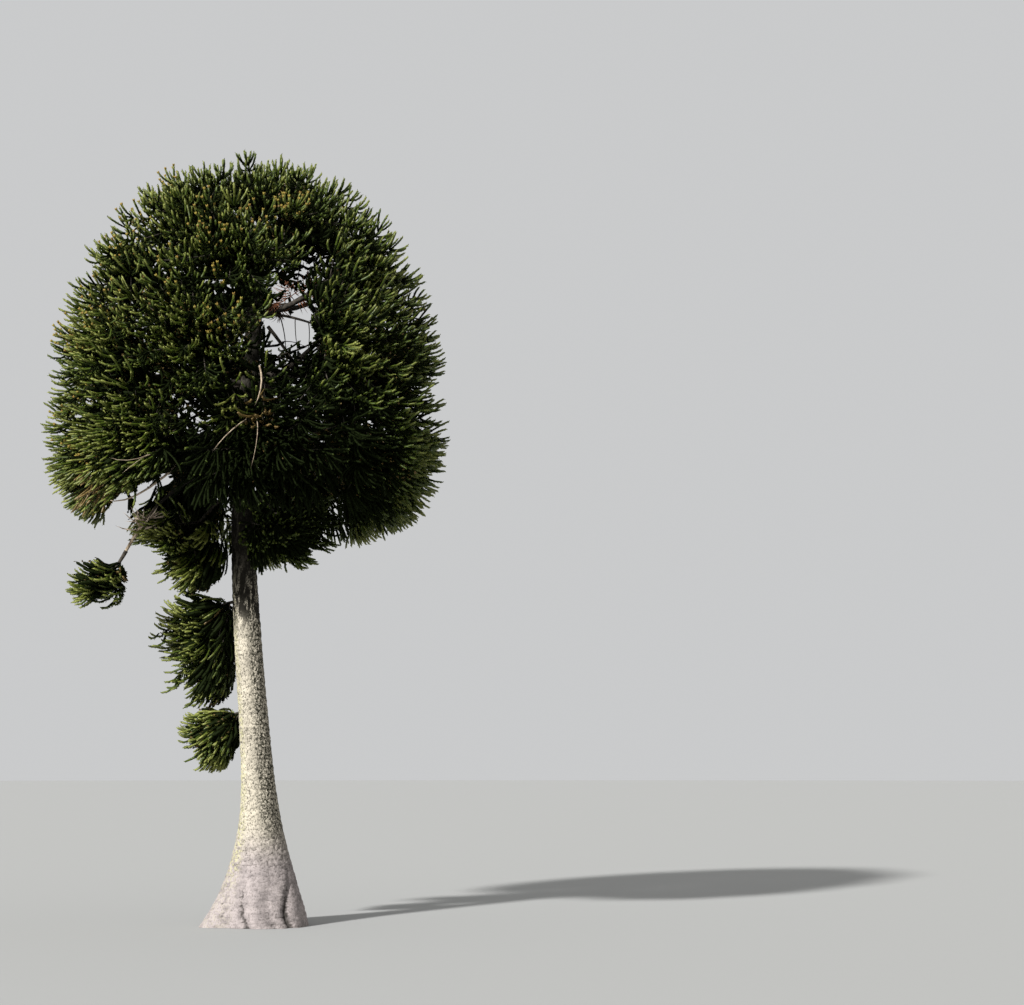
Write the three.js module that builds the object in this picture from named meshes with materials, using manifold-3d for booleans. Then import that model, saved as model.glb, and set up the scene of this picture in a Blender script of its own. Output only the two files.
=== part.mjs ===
// An old monkey puzzle tree: a tall bare trunk with a flared foot and a domed crown.
// Whorls of boughs carry masses of twigs, and every twig ends in a fan of leafy shoots. The real tree
// has many thousands of shoots, so each one here stands for a spray of them and is larger than life.
// Millimetres. +Z is up, -Y faces the viewer, and azimuths are degrees from +X towards +Y.
// The origin is the middle of the flat cut at ground level.
import * as THREE from "three";
import { mergeVertices } from "three/addons/utils/BufferGeometryUtils.js";
import Module from "manifold-3d";

const wasm = await Module();
wasm.setup();

// Driving dimensions of the trunk: it leans to -X up to the bend, and comes part of the way back
const TRUNK_HEIGHT = 23400;
const TRUNK_RADIUS = 545;
const TRUNK_TIP_RADIUS = 80;
const TRUNK_SIDES = 24;
const TRUNK_RINGS = 18;
const RING_CROWDING = 1.7;
const LEAN = { away: 900, bend: 14000, back: 400, end: 25000, y: 180 };
const FLARE = { spread: 800, height: 2500, fall: 1.7, toeHeight: 950, toeWidth: 24 };
const TOES = [
  { azimuth: 203, reach: 760 },
  { azimuth: 262, reach: 250 },
  { azimuth: 312, reach: 420 },
  { azimuth: 352, reach: 160 },
  { azimuth: 48, reach: 300 },
  { azimuth: 98, reach: 480 },
  { azimuth: 150, reach: 340 },
];

// Driving dimensions of the crown, a dome round an upright axis
const CROWN = { x: -750, y: 100, middle: 15800, radius: 6900, above: 9900, below: 3800, fullness: 2.3 };
// A gap in the right of the crown, a tunnel along the view, where only a dead limb shows
const GAP = { x: 900, z: 19850, radius: 850, alongX: -0.12, alongZ: 0.25 };

// Whorls of boughs: number, first azimuth, latitude on the dome, and where each bough leaves and ends
const WHORLS = [
  { name: "low", count: 7, turn: 180, latitude: -8, leaves: 15900, tip: [3700, 15150], sag: -300 },
  { name: "middle", count: 7, turn: 206, latitude: 18, leaves: 18000, tip: [3700, 18300], sag: 400 },
  { name: "upper", count: 5, turn: 196, latitude: 39, leaves: 20300, tip: [2900, 21200], sag: 400 },
  { name: "top", count: 4, turn: 222, latitude: 62, leaves: 22000, tip: [1500, 23100], sag: 160 },
];
const BOUGH = { root: 105, tip: 78, sides: 5, steps: 3, stagger: 190, sway: 520 };

// The mass on the tip of the trunk
const TIP = { depth: 0.9, spread: [1300, 1300] };

// Short boughs that hang under the dome, close to the trunk, each mass a step higher than the last
const SKIRT = {
  count: 3, turn: 197, leaves: 14300, tip: [1350, 13300], sag: -240,
  middle: [2200, 12400], step: 400, reach: [1700, 1700, 1850], size: 0.85,
};
const HANGING = {
  leaves: 14900, bend: [-3000, -1100, 14900], tip: [-4450, -1350, 11950],
  centre: [-5150, -1500, 11050], reach: [1000, 800, 950], size: 0.62, droop: 0.5,
};
const TUFTS = [
  {
    name: "foliage_trunk_1", leaves: 10450, rise: 0.1, centre: [-2500, 650, 8900],
    reach: [1550, 1350, 2050], size: 0.8, droop: 0.9,
  },
  {
    name: "foliage_trunk_2", leaves: 6850, rise: -0.05, centre: [-1900, 450, 5950],
    reach: [1150, 950, 1150], size: 0.62, droop: 0.9,
  },
];
const DEAD = {
  leaves: 20500, azimuth: 348, rise: -0.12, length: 1500, centreZ: 20750,
  reach: [1250, 900, 1250], twigSize: 0.6, twigThin: 0.4,
};

// The rule of growth, the same in every mass: a stem, twigs along it, a knot at the end of each twig,
// and shoots from the faces of the knot; the profiles are the widths ring by ring
const STEM = {
  share: 0.85, radius: 112, sides: 5, steps: 3, profile: [0.7, 1, 1, 0.85], firstTwig: 0.4, lastTwig: 0.93,
};
const TWIG = { count: 5, spread: [2150, 1450], depth: 0.79, sag: 120, attempts: 4, profile: [0.8, 0.4] };
const KNOT_RADIUS = 145;
const SHOOT = {
  count: 4, radius: 250, longest: 2500, attempts: 6, shorter: 0.13, bearing: 0.2, apart: 0.8,
  droop: 0.5, droopFrom: 12500, droopTo: 23500, lift: 0.5, splay: 0.7,
  profile: [2, 1.9, 0],
  coneProfile: [1.4, 2.3, 0],
  bareProfile: [1, 0.8, 0],
};
const OVAL_SPREAD = 0.62;
const GOLDEN_ANGLE = 137.508;
const CLEAR = 0.3;
const LIMB_MARGIN = 20;
const CHECKS = 8;
// How far a face may move when a joined mass gives up small triangles
const SIMPLIFY = 10;

const UP = new THREE.Vector3(0, 0, 1);
const vec = (x, y, z) => new THREE.Vector3(x, y, z);
const rad = THREE.MathUtils.degToRad;
const mix = THREE.MathUtils.lerp;
const smooth = (x) => THREE.MathUtils.smoothstep(x, 0, 1);

// The same value from 0 to 1 for the same two seeds, every time
function chance(a, b) {
  const x = Math.sin(a * 12.9898 + b * 78.233) * 43758.5453;
  return x - Math.floor(x);
}

// Trunk

function trunkAxis(z) {
  const away = LEAN.away * smooth(z / LEAN.bend);
  const back = LEAN.back * smooth((z - LEAN.bend) / (LEAN.end - LEAN.bend));
  return vec(back - away, LEAN.y * smooth(z / TRUNK_HEIGHT), z);
}

function trunkRadius(z) {
  const taper = Math.sqrt(Math.max(0, 1 - z / TRUNK_HEIGHT));
  const flare = FLARE.spread * Math.exp(-((z / FLARE.height) ** FLARE.fall));
  return TRUNK_TIP_RADIUS + (TRUNK_RADIUS - TRUNK_TIP_RADIUS) * taper + flare;
}

// The toes of the root flare: how far the foot reaches past its round radius
function toeReach(azimuth, z) {
  const fade = Math.exp(-z / FLARE.toeHeight);
  return TOES.reduce((reach, toe) => {
    const away = ((azimuth - toe.azimuth + 540) % 360) - 180;
    return reach + toe.reach * fade * Math.exp(-((away / FLARE.toeWidth) ** 2));
  }, 0);
}

// The rings lie closer together towards the foot, where the outline curves most
function trunkGeometry(grown) {
  const geometry = new THREE.CylinderGeometry(1, 1, 1, TRUNK_SIDES, TRUNK_RINGS);
  const place = geometry.attributes.position;
  for (let i = 0; i < place.count; i++) {
    const share = place.getY(i) + 0.5;
    const z = TRUNK_HEIGHT * share ** RING_CROWDING;
    const across = Math.hypot(place.getX(i), place.getZ(i));
    const azimuth = THREE.MathUtils.radToDeg(Math.atan2(-place.getZ(i), place.getX(i)));
    const radius = across * (trunkRadius(z) + toeReach((azimuth + 360) % 360, z) + grown);
    const axis = trunkAxis(z);
    place.setXYZ(i, axis.x + radius * Math.cos(rad(azimuth)), axis.y + radius * Math.sin(rad(azimuth)), z);
  }
  return geometry;
}

// A limb: a closed cylinder bent along a curve, with its own radius at each ring
function limbGeometry(curve, radiusAt, sides, steps) {
  const geometry = new THREE.CylinderGeometry(1, 1, 1, sides, steps);
  const frames = curve.computeFrenetFrames(steps);
  const place = geometry.attributes.position;
  for (let i = 0; i < place.count; i++) {
    const ring = Math.round((place.getY(i) + 0.5) * steps);
    const across = Math.hypot(place.getX(i), place.getZ(i));
    const radius = across > 1e-6 ? radiusAt(ring / steps) / across : 0;
    const point = curve.getPointAt(ring / steps);
    point.addScaledVector(frames.normals[ring], place.getX(i) * radius);
    point.addScaledVector(frames.binormals[ring], -place.getZ(i) * radius);
    place.setXYZ(i, point.x, point.y, point.z);
  }
  return geometry;
}

function solidOf(geometry) {
  const bare = geometry.clone();
  bare.deleteAttribute("normal");
  bare.deleteAttribute("uv");
  const merged = mergeVertices(bare, 1e-3);
  return new wasm.Manifold(
    new wasm.Mesh({
      numProp: 3,
      vertProperties: merged.attributes.position.array,
      triVerts: new Uint32Array(merged.index.array),
    }),
  );
}

// One closed body: sealed hollows are filled, and loose scraps are dropped
function largestBody(solid) {
  const bodies = solid.decompose().filter((body) => body.volume() > 0);
  return bodies.sort((a, b) => b.volume() - a.volume())[0];
}

function geometryOf(solid) {
  const mesh = solid.getMesh();
  const geometry = new THREE.BufferGeometry();
  geometry.setAttribute("position", new THREE.BufferAttribute(new Float32Array(mesh.vertProperties), 3));
  geometry.setIndex(new THREE.BufferAttribute(new Uint32Array(mesh.triVerts), 1));
  geometry.computeVertexNormals();
  return geometry;
}

// The dome: a value under 1 is inside it
function domeLevel(p) {
  const across = Math.hypot(p.x - CROWN.x, p.y - CROWN.y) / CROWN.radius;
  const rise = p.z - CROWN.middle;
  const up = Math.abs(rise) / (rise > 0 ? CROWN.above : CROWN.below);
  return across ** CROWN.fullness + up ** CROWN.fullness;
}

function domePoint(azimuth, latitude, depth) {
  const side = Math.cos(rad(latitude)) ** (2 / CROWN.fullness);
  const rise = Math.abs(Math.sin(rad(latitude))) ** (2 / CROWN.fullness);
  const height = latitude > 0 ? CROWN.above : -CROWN.below;
  return vec(
    CROWN.x + CROWN.radius * depth * side * Math.cos(rad(azimuth)),
    CROWN.y + CROWN.radius * depth * side * Math.sin(rad(azimuth)),
    CROWN.middle + height * depth * rise,
  );
}

// An oval space of its own, for the masses that hang outside the dome
function ovalLevel(p, oval) {
  return Math.hypot(
    (p.x - oval.centre.x) / oval.reach[0],
    (p.y - oval.centre.y) / oval.reach[1],
    (p.z - oval.centre.z) / oval.reach[2],
  );
}

function outward(p, mass) {
  if (mass.oval) {
    const [a, b, c] = mass.oval.reach;
    const away = p.clone().sub(mass.oval.centre);
    return vec(away.x / (a * a), away.y / (b * b), away.z / (c * c)).normalize();
  }
  const rise = p.z - CROWN.middle;
  const height = rise > 0 ? CROWN.above : CROWN.below;
  return vec(
    (p.x - CROWN.x) / CROWN.radius ** 2,
    (p.y - CROWN.y) / CROWN.radius ** 2,
    rise / height ** 2,
  ).normalize();
}

// Boughs and masses, listed by name

const boughs = [];
const masses = [];

function boughCurve(azimuth, leaves, tip, sag, seed) {
  const along = vec(Math.cos(rad(azimuth)), Math.sin(rad(azimuth)), 0);
  const root = trunkAxis(leaves);
  const end = vec(CROWN.x + tip[0] * along.x, CROWN.y + tip[0] * along.y, tip[1]);
  const bend = root.clone().lerp(end, 0.5);
  bend.z -= sag;
  bend.addScaledVector(vec(-along.y, along.x, 0), BOUGH.sway * (chance(seed, 3) - 0.5));
  return new THREE.QuadraticBezierCurve3(root, bend, end);
}

function addBough(name, curve, size = 1) {
  const radiusAt = (t) => mix(BOUGH.root, BOUGH.tip, t) * size;
  const samples = [];
  for (let i = 0; i <= 24; i++) {
    samples.push({ point: curve.getPointAt(i / 24), radius: radiusAt(i / 24) });
  }
  boughs.push({ name, curve, radiusAt, samples });
  return boughs.at(-1);
}

// A mass goes on from its bough's tip, or from the trunk, and keeps to the space nearest its middle
function addMass(name, start, along, middle, more = {}) {
  masses.push({ name, start, along, middle, number: masses.length, size: 1, ...more });
}

function addMassOn(bough, name, middle, more) {
  const along = bough.curve.getTangentAt(1);
  addMass(name, bough.curve.getPointAt(1).addScaledVector(along, CLEAR), along, middle, more);
}

WHORLS.forEach((whorl, w) => {
  for (let i = 0; i < whorl.count; i++) {
    const azimuth = whorl.turn + (360 / whorl.count) * i;
    const leaves = whorl.leaves + (i % 2 ? BOUGH.stagger : -BOUGH.stagger);
    const curve = boughCurve(azimuth, leaves, whorl.tip, whorl.sag, 10 * w + i);
    const bough = addBough(`bough_${whorl.name}_${i + 1}`, curve);
    addMassOn(bough, `foliage_${whorl.name}_${i + 1}`, domePoint(azimuth, whorl.latitude, TWIG.depth));
  }
});

addMass("foliage_tip", trunkAxis(TRUNK_HEIGHT + CLEAR), UP.clone(), domePoint(0, 90, TIP.depth), TIP);

for (let i = 0; i < SKIRT.count; i++) {
  const azimuth = SKIRT.turn + (360 / SKIRT.count) * i;
  const curve = boughCurve(azimuth, SKIRT.leaves, SKIRT.tip, SKIRT.sag, 60 + i);
  const bough = addBough(`bough_skirt_${i + 1}`, curve, SKIRT.size);
  const centre = vec(
    CROWN.x + SKIRT.middle[0] * Math.cos(rad(azimuth)),
    CROWN.y + SKIRT.middle[0] * Math.sin(rad(azimuth)),
    SKIRT.middle[1] + SKIRT.step * i,
  );
  const oval = { centre, reach: SKIRT.reach };
  addMassOn(bough, `foliage_skirt_${i + 1}`, centre, { oval, size: SKIRT.size });
}

// A bare limb that hangs out of the left of the dome, with a tuft at its end
const hangingCurve = new THREE.QuadraticBezierCurve3(
  trunkAxis(HANGING.leaves),
  vec(...HANGING.bend),
  vec(...HANGING.tip),
);
const hangingBough = addBough("bough_hanging", hangingCurve, HANGING.size);
const hangingCentre = vec(...HANGING.centre);
addMassOn(hangingBough, "foliage_hanging", hangingCentre, {
  oval: { centre: hangingCentre, reach: HANGING.reach },
  size: HANGING.size,
  droop: HANGING.droop,
});

// Tufts that spring straight from the trunk under the dome
TUFTS.forEach((tuft) => {
  const centre = vec(...tuft.centre);
  const start = trunkAxis(tuft.leaves);
  const along = centre.clone().sub(start).setZ(tuft.rise).normalize();
  addMass(tuft.name, start, along, centre, {
    oval: { centre, reach: tuft.reach },
    size: tuft.size,
    droop: tuft.droop,
    onTrunk: true,
  });
});

// A dead limb in the gap, with bare twigs that stand up from it
const deadStart = trunkAxis(DEAD.leaves);
const deadAlong = vec(Math.cos(rad(DEAD.azimuth)), Math.sin(rad(DEAD.azimuth)), DEAD.rise).normalize();
const deadCentre = deadStart.clone().addScaledVector(deadAlong, DEAD.length).setZ(DEAD.centreZ);
addMass("twigs_dead", deadStart, deadAlong, deadCentre, {
  oval: { centre: deadCentre, reach: DEAD.reach },
  onTrunk: true,
  bare: true,
});

// Growth

// A curve that leaves its root one way and ends another way
function sweep(root, from, to, length) {
  const middle = root.clone().addScaledVector(from, length / 2);
  return new THREE.QuadraticBezierCurve3(root, middle, middle.clone().addScaledVector(to, length / 2));
}

const gapAlong = vec(GAP.alongX, 1, GAP.alongZ).normalize();

function distanceFromGap(p) {
  const away = p.clone().sub(vec(GAP.x, 0, GAP.z));
  return away.addScaledVector(gapAlong, -away.dot(gapAlong)).length();
}

// Whether a twig of this radius may pass through p: it keeps to the half of the space between two masses
// that is nearer to its own, inside the dome or its oval, and clear of the trunk, the boughs and the gap
function fitsAt(p, radius, mass) {
  const level = mass.oval ? ovalLevel(p, mass.oval) : domeLevel(p);
  const axis = trunkAxis(p.z);
  const inTrunk =
    p.z < TRUNK_HEIGHT + radius + LIMB_MARGIN &&
    Math.hypot(p.x - axis.x, p.y - axis.y) < trunkRadius(p.z) + radius + LIMB_MARGIN;
  if (level > 1 || inTrunk) return false;
  if (!mass.bare && distanceFromGap(p) < GAP.radius + radius) return false;
  const ownCell = masses.every((other) => {
    if (other === mass) return true;
    const away = mass.middle.clone().sub(other.middle);
    const border = mass.middle.clone().add(other.middle).multiplyScalar(0.5);
    return p.clone().sub(border).dot(away.normalize()) > radius + LIMB_MARGIN;
  });
  return (
    ownCell &&
    boughs.every((bough) =>
      bough.samples.every((s) => s.point.distanceTo(p) > s.radius + radius + LIMB_MARGIN),
    )
  );
}

function fits(curve, radius, mass, from) {
  for (let i = 0; i <= CHECKS; i++) {
    if (!fitsAt(curve.getPointAt(mix(from, 1, i / CHECKS)), radius, mass)) return false;
  }
  return true;
}

// The middle of a twig's fan of shoots: the twigs share out the mass's patch along a spiral
function twigEnd(mass, j) {
  const out = outward(mass.oval ? mass.middle.clone().add(mass.along) : mass.middle, mass);
  // Any level side will do where the way out is straight up
  const side = out.z > 0.999 ? vec(1, 0, 0) : vec(-out.y, out.x, 0.001).normalize();
  const rise = out.clone().cross(side);
  const turn = rad(j * GOLDEN_ANGLE + 360 * chance(mass.number, 7));
  const across = Math.sqrt((j + 0.5) / TWIG.count);
  if (mass.oval) {
    const offset = side.multiplyScalar(Math.cos(turn) * across * OVAL_SPREAD);
    offset.addScaledVector(rise, Math.sin(turn) * across * OVAL_SPREAD);
    return offset.multiply(vec(...mass.oval.reach)).add(mass.middle);
  }
  const [wide, high] = mass.spread ?? TWIG.spread;
  const end = mass.middle.clone().addScaledVector(side, Math.cos(turn) * across * wide);
  end.addScaledVector(rise, Math.sin(turn) * across * high);
  const core = vec(CROWN.x, CROWN.y, CROWN.middle);
  const depth = (mass.depth ?? TWIG.depth) / domeLevel(end) ** (1 / CROWN.fullness);
  return end.sub(core).multiplyScalar(depth).add(core);
}

// The points of a shoot past its root, for keeping shoots apart
function shootPoints(curve) {
  return Array.from({ length: CHECKS - 1 }, (_, i) => curve.getPointAt((i + 2) / CHECKS));
}

function clearOfShoots(curve, radius, grown) {
  return shootPoints(curve).every((p) =>
    grown.every((other) => other.distanceTo(p) > 2 * radius * SHOOT.apart),
  );
}

// The eight faces of a knot, the first of them turned back along its twig
function knotFaces(centre, back, radius, spin) {
  const place = new THREE.OctahedronGeometry(radius).attributes.position;
  const corners = Array.from({ length: place.count }, (_, i) => vec().fromBufferAttribute(place, i));
  const first = corners[0].clone().add(corners[1]).add(corners[2]).normalize();
  const turn = new THREE.Quaternion().setFromUnitVectors(first, back);
  turn.premultiply(new THREE.Quaternion().setFromAxisAngle(back, spin));
  return Array.from({ length: 8 }, (_, f) => {
    const face = corners.slice(3 * f, 3 * f + 3).map((corner) => corner.applyQuaternion(turn).add(centre));
    const middle = face[0].clone().add(face[1]).add(face[2]).divideScalar(3);
    return { corners: face, middle, facing: middle.clone().sub(centre).normalize() };
  });
}

// A three-sided limb that grows out of a face along a curve, to a flat end or, at width 0, a point
function growFromFace(skin, face, curve, profile) {
  let ring = face.corners;
  profile.forEach((width, i) => {
    const t = (i + 1) / profile.length;
    const turn = new THREE.Quaternion().setFromUnitVectors(face.facing, curve.getTangentAt(t));
    const point = curve.getPointAt(t);
    const next = face.corners.map((corner) =>
      corner.clone().sub(face.middle).multiplyScalar(width).applyQuaternion(turn).add(point),
    );
    for (let k = 0; k < 3; k++) {
      const l = (k + 1) % 3;
      skin.push(ring[k], ring[l], next[l]);
      if (width > 0) skin.push(ring[k], next[l], next[k]);
    }
    ring = next;
  });
  if (profile.at(-1) > 0) skin.push(...ring);
}

// The way of a shoot: it leaves its knot, hangs a little, and turns out and up to its tip
function shootCurve(face, mass, radius, grown) {
  const height = (face.middle.z - SHOOT.droopFrom) / (SHOOT.droopTo - SHOOT.droopFrom);
  const droop = mass.droop ?? mix(SHOOT.droop, 0, THREE.MathUtils.clamp(height, 0, 1));
  const from = face.facing.clone().addScaledVector(UP, -droop).normalize();
  const to = outward(face.middle, mass).addScaledVector(UP, SHOOT.lift);
  to.addScaledVector(face.facing, SHOOT.splay).normalize();
  for (let attempt = 0; attempt < SHOOT.attempts; attempt++) {
    const length = SHOOT.longest * (1 - SHOOT.shorter * attempt) * (mass.bare ? DEAD.twigSize : mass.size);
    const curve = sweep(face.middle, from, to, length);
    if (fits(curve, radius, mass, 0.1) && clearOfShoots(curve, radius, grown)) return curve;
  }
  return null;
}

// A fan of shoots round the knot at a twig's end
function fanSolid(twig, mass, seed, thick, grown) {
  const end = twig.getPointAt(1);
  const back = twig.getTangentAt(1).negate();
  const [rear, ...faces] = knotFaces(end, back, KNOT_RADIUS * thick, rad(seed * GOLDEN_ANGLE));
  const bearing = chance(seed, 11) < SHOOT.bearing;
  const profile = mass.bare ? SHOOT.bareProfile : bearing ? SHOOT.coneProfile : SHOOT.profile;
  const skin = [];
  growFromFace(skin, rear, new THREE.QuadraticBezierCurve3(rear.middle, twig.v1, twig.v0), TWIG.profile);
  let shoots = 0;
  for (const face of faces.sort((a, b) => a.facing.dot(back) - b.facing.dot(back))) {
    const radius = SHOOT.radius * thick;
    const curve = shoots < SHOOT.count ? shootCurve(face, mass, radius, grown) : null;
    if (!curve) {
      skin.push(...face.corners);
      continue;
    }
    growFromFace(skin, face, curve, profile);
    grown.push(...shootPoints(curve));
    shoots += 1;
  }
  return solidOf(new THREE.BufferGeometry().setFromPoints(skin));
}

// The way of a twig from its stem, nearer to the mass's middle where it would not fit further out
function twigCurve(stem, mass, j, thick) {
  const from = stem.getPointAt(mix(STEM.lastTwig, STEM.firstTwig, j / (TWIG.count - 1)));
  const furthest = twigEnd(mass, j);
  for (let attempt = 0; attempt < TWIG.attempts; attempt++) {
    const end = furthest.clone().lerp(mass.middle, attempt / (TWIG.attempts + 1));
    const bend = from.clone().lerp(end, 0.5).addScaledVector(UP, -TWIG.sag * mass.size);
    const twig = new THREE.QuadraticBezierCurve3(from, bend, end);
    if (fits(twig, KNOT_RADIUS * thick, mass, 0.3)) return twig;
  }
  return null;
}

function massSolid(mass, trunkClear) {
  const reach = mass.middle.distanceTo(mass.start);
  const toMiddle = mass.middle.clone().sub(mass.start).normalize();
  const stem = sweep(mass.start, mass.along, toMiddle, reach * STEM.share);
  const thick = mass.size * (mass.bare ? DEAD.twigThin : 1);
  const stemRadius = (t) => STEM.radius * thick * STEM.profile[Math.round(STEM.steps * t)];
  const solids = [solidOf(limbGeometry(stem, stemRadius, STEM.sides, STEM.steps))];
  const grown = [];
  for (let j = 0; j < TWIG.count; j++) {
    const twig = twigCurve(stem, mass, j, thick);
    if (twig) solids.push(fanSolid(twig, mass, 17 * mass.number + 5 * j, thick, grown));
  }
  const joined = wasm.Manifold.union(solids).simplify(SIMPLIFY);
  return largestBody(mass.onTrunk ? joined.subtract(trunkClear) : joined);
}

// Materials, by the kind of sub-part

const MATERIALS = {
  bark: new THREE.MeshStandardMaterial({ color: 0xa89f8c, roughness: 0.95, metalness: 0 }),
  limb: new THREE.MeshStandardMaterial({ color: 0x5d5345, roughness: 0.95, metalness: 0 }),
  leaf: new THREE.MeshStandardMaterial({ color: 0x2c3f1c, roughness: 0.7, metalness: 0 }),
  dead: new THREE.MeshStandardMaterial({ color: 0x8a5a41, roughness: 0.9, metalness: 0 }),
};

const tree = new THREE.Group();

function addMesh(name, geometry, material) {
  const mesh = new THREE.Mesh(geometry, material);
  mesh.name = name;
  tree.add(mesh);
}

const trunk = solidOf(trunkGeometry(0));
const trunkClear = solidOf(trunkGeometry(CLEAR));

addMesh("trunk", geometryOf(trunk), MATERIALS.bark);
boughs.forEach((bough) => {
  const limb = solidOf(limbGeometry(bough.curve, bough.radiusAt, BOUGH.sides, BOUGH.steps));
  addMesh(bough.name, geometryOf(largestBody(limb.subtract(trunkClear))), MATERIALS.limb);
});
masses.forEach((mass) => {
  addMesh(mass.name, geometryOf(massSolid(mass, trunkClear)), mass.bare ? MATERIALS.dead : MATERIALS.leaf);
});

export default tree;
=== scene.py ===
"""Looks for an old monkey puzzle tree: bark with relief, limbs, twigs, leafy shoots and pollen cones.

The limbs and twigs grow by the same rule as the solids of the part, carried here to finer twigs.
Metres. +Z is up, -Y faces the viewer, and azimuths are degrees from +X towards +Y.
"""

import functools
import math
from dataclasses import dataclass

import bpy
import numpy as np
from bpy.props import FloatProperty, FloatVectorProperty, IntProperty, PointerProperty
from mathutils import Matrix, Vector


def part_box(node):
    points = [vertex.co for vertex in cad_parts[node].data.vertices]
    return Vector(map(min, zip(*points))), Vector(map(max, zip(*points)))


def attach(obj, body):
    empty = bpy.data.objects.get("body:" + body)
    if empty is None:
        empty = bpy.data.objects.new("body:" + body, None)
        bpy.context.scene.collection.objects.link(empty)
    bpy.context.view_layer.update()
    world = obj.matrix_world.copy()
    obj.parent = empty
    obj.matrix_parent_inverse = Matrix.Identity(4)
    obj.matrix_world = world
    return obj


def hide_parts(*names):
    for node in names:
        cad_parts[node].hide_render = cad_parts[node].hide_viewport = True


bl_info = {
    "name": "Monkey Puzzle Tree",
    "version": (1, 0, 0),
    "blender": (4, 5, 0),
    "location": "View3D > Sidebar > Tree",
    "description": "Dresses an old monkey puzzle tree with bark, twigs, leafy shoots and cones",
    "category": "Add Mesh",
}

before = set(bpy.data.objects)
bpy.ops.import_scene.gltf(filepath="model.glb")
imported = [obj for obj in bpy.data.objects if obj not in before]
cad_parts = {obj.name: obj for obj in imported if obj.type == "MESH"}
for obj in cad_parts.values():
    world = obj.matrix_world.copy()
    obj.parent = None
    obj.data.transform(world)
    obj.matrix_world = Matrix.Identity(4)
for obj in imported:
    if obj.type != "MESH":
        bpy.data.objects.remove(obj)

BODY = "root"

# Trunk, as in the part
TRUNK_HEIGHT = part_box("trunk")[1].z
TRUNK_RADIUS, TRUNK_TIP_RADIUS = 0.545, 0.08
# It leans away up to the bend, and a little back from there to the end of the lean
LEAN_AWAY, LEAN_BEND, LEAN_BACK, LEAN_END, LEAN_Y = 0.9, 14.0, 0.4, 25.0, 0.18
# The root flare, its toes' height and width in degrees, and the azimuth and reach of each
FLARE_SPREAD, FLARE_HEIGHT, FLARE_FALL = 0.8, 2.5, 1.7
TOE_HEIGHT, TOE_WIDTH = 0.95, 24.0
TOES = ((203, 0.76), (262, 0.25), (312, 0.42), (352, 0.16), (48, 0.3), (98, 0.48), (150, 0.34))

# Crown, as in the part: a dome round an upright axis
CROWN_X, CROWN_Y, CROWN_MIDDLE = -0.75, 0.1, 15.8
CROWN_RADIUS, CROWN_ABOVE, CROWN_BELOW, CROWN_FULLNESS = 6.9, 9.9, 3.8, 2.3
# Below its middle the leaves fill it a little more than the part's masses do
FULLNESS_BELOW = 2.7
# Gaps that run through it: a point, the way it runs, its radius and how much taller it is.
# The part has the first one alone
GAPS = (
    ((0.9, 0.0, 19.85), (-0.12, 1.0, 0.25), 0.7, 1.6),
    ((-4.95, 0.0, 13.7), (-0.21, 1.0, 0.15), 0.55, 0.9),
    ((-4.2, 0.0, 14.1), (-0.21, 1.0, 0.15), 0.45, 0.8),
    ((-3.5, 0.0, 14.55), (-0.21, 1.0, 0.15), 0.35, 0.8),
)
# Their edge is ragged: the least and the most that the radius is multiplied by
GAP_RAGGED = (0.4, 1.35)

# Whorls of boughs: name, number, first azimuth, latitude, height where they leave, tip (out, up), sag
WHORLS = (
    ("low", 7, 180, -8, 15.9, (3.7, 15.15), -0.3),
    ("middle", 7, 206, 18, 18.0, (3.7, 18.3), 0.4),
    ("upper", 5, 196, 39, 20.3, (2.9, 21.2), 0.4),
    ("top", 4, 222, 62, 22.0, (1.5, 23.1), 0.16),
)
# Radius of a bough at its root and its tip, how far it is raised or lowered by turns, and its sway
BOUGH_ROOT, BOUGH_TIP, BOUGH_STAGGER, BOUGH_SWAY = 0.105, 0.078, 0.19, 0.52
# The fringe under the dome: its boughs, and the middle and reach of its masses
SKIRT_COUNT, SKIRT_TURN, SKIRT_LEAVES, SKIRT_TIP, SKIRT_SAG = 3, 197, 14.3, (1.35, 13.3), -0.24
SKIRT_MIDDLE, SKIRT_STEP, SKIRT_REACH, SKIRT_SIZE = (2.2, 12.4), 0.4, (1.7, 1.7, 1.85), 0.85
# The bare limb that hangs out on the left, and the broom of shoots at its end
HANGING_LEAVES, HANGING_BEND, HANGING_TIP = 14.9, (-3.0, -1.1, 14.9), (-4.45, -1.35, 11.95)
HANGING_CENTRE, HANGING_REACH, HANGING_SIZE = (-5.35, -1.5, 10.88), (0.96, 0.85, 0.98), 0.62
# How large the broom's twigs and shoots are beside those of the dome
HANGING_BROOM = 0.85
# A dry limb that hangs beside it
DRY_LIMB = ((-2.6, -2.3, 14.7), (-4.15, -2.4, 13.15), (-4.95, -2.3, 13.5))
DRY_LIMB_RADII = (0.045, 0.04, 0.036, 0.03, 0.024, 0.018)
# A fan of dry shoots on the bare limb: the part of its length where they sit, their number and length
DRY_FAN_AT, DRY_FAN_PART, DRY_FAN_SHOOTS, DRY_FAN_LENGTH = 0.78, 0.1, 26, 0.8
# It opens from this azimuth over this many degrees
DRY_FAN_FROM, DRY_FAN_OPEN = 120, 260
DRY_FAN_RADII = (0.02, 0.024, 0.018)
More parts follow.
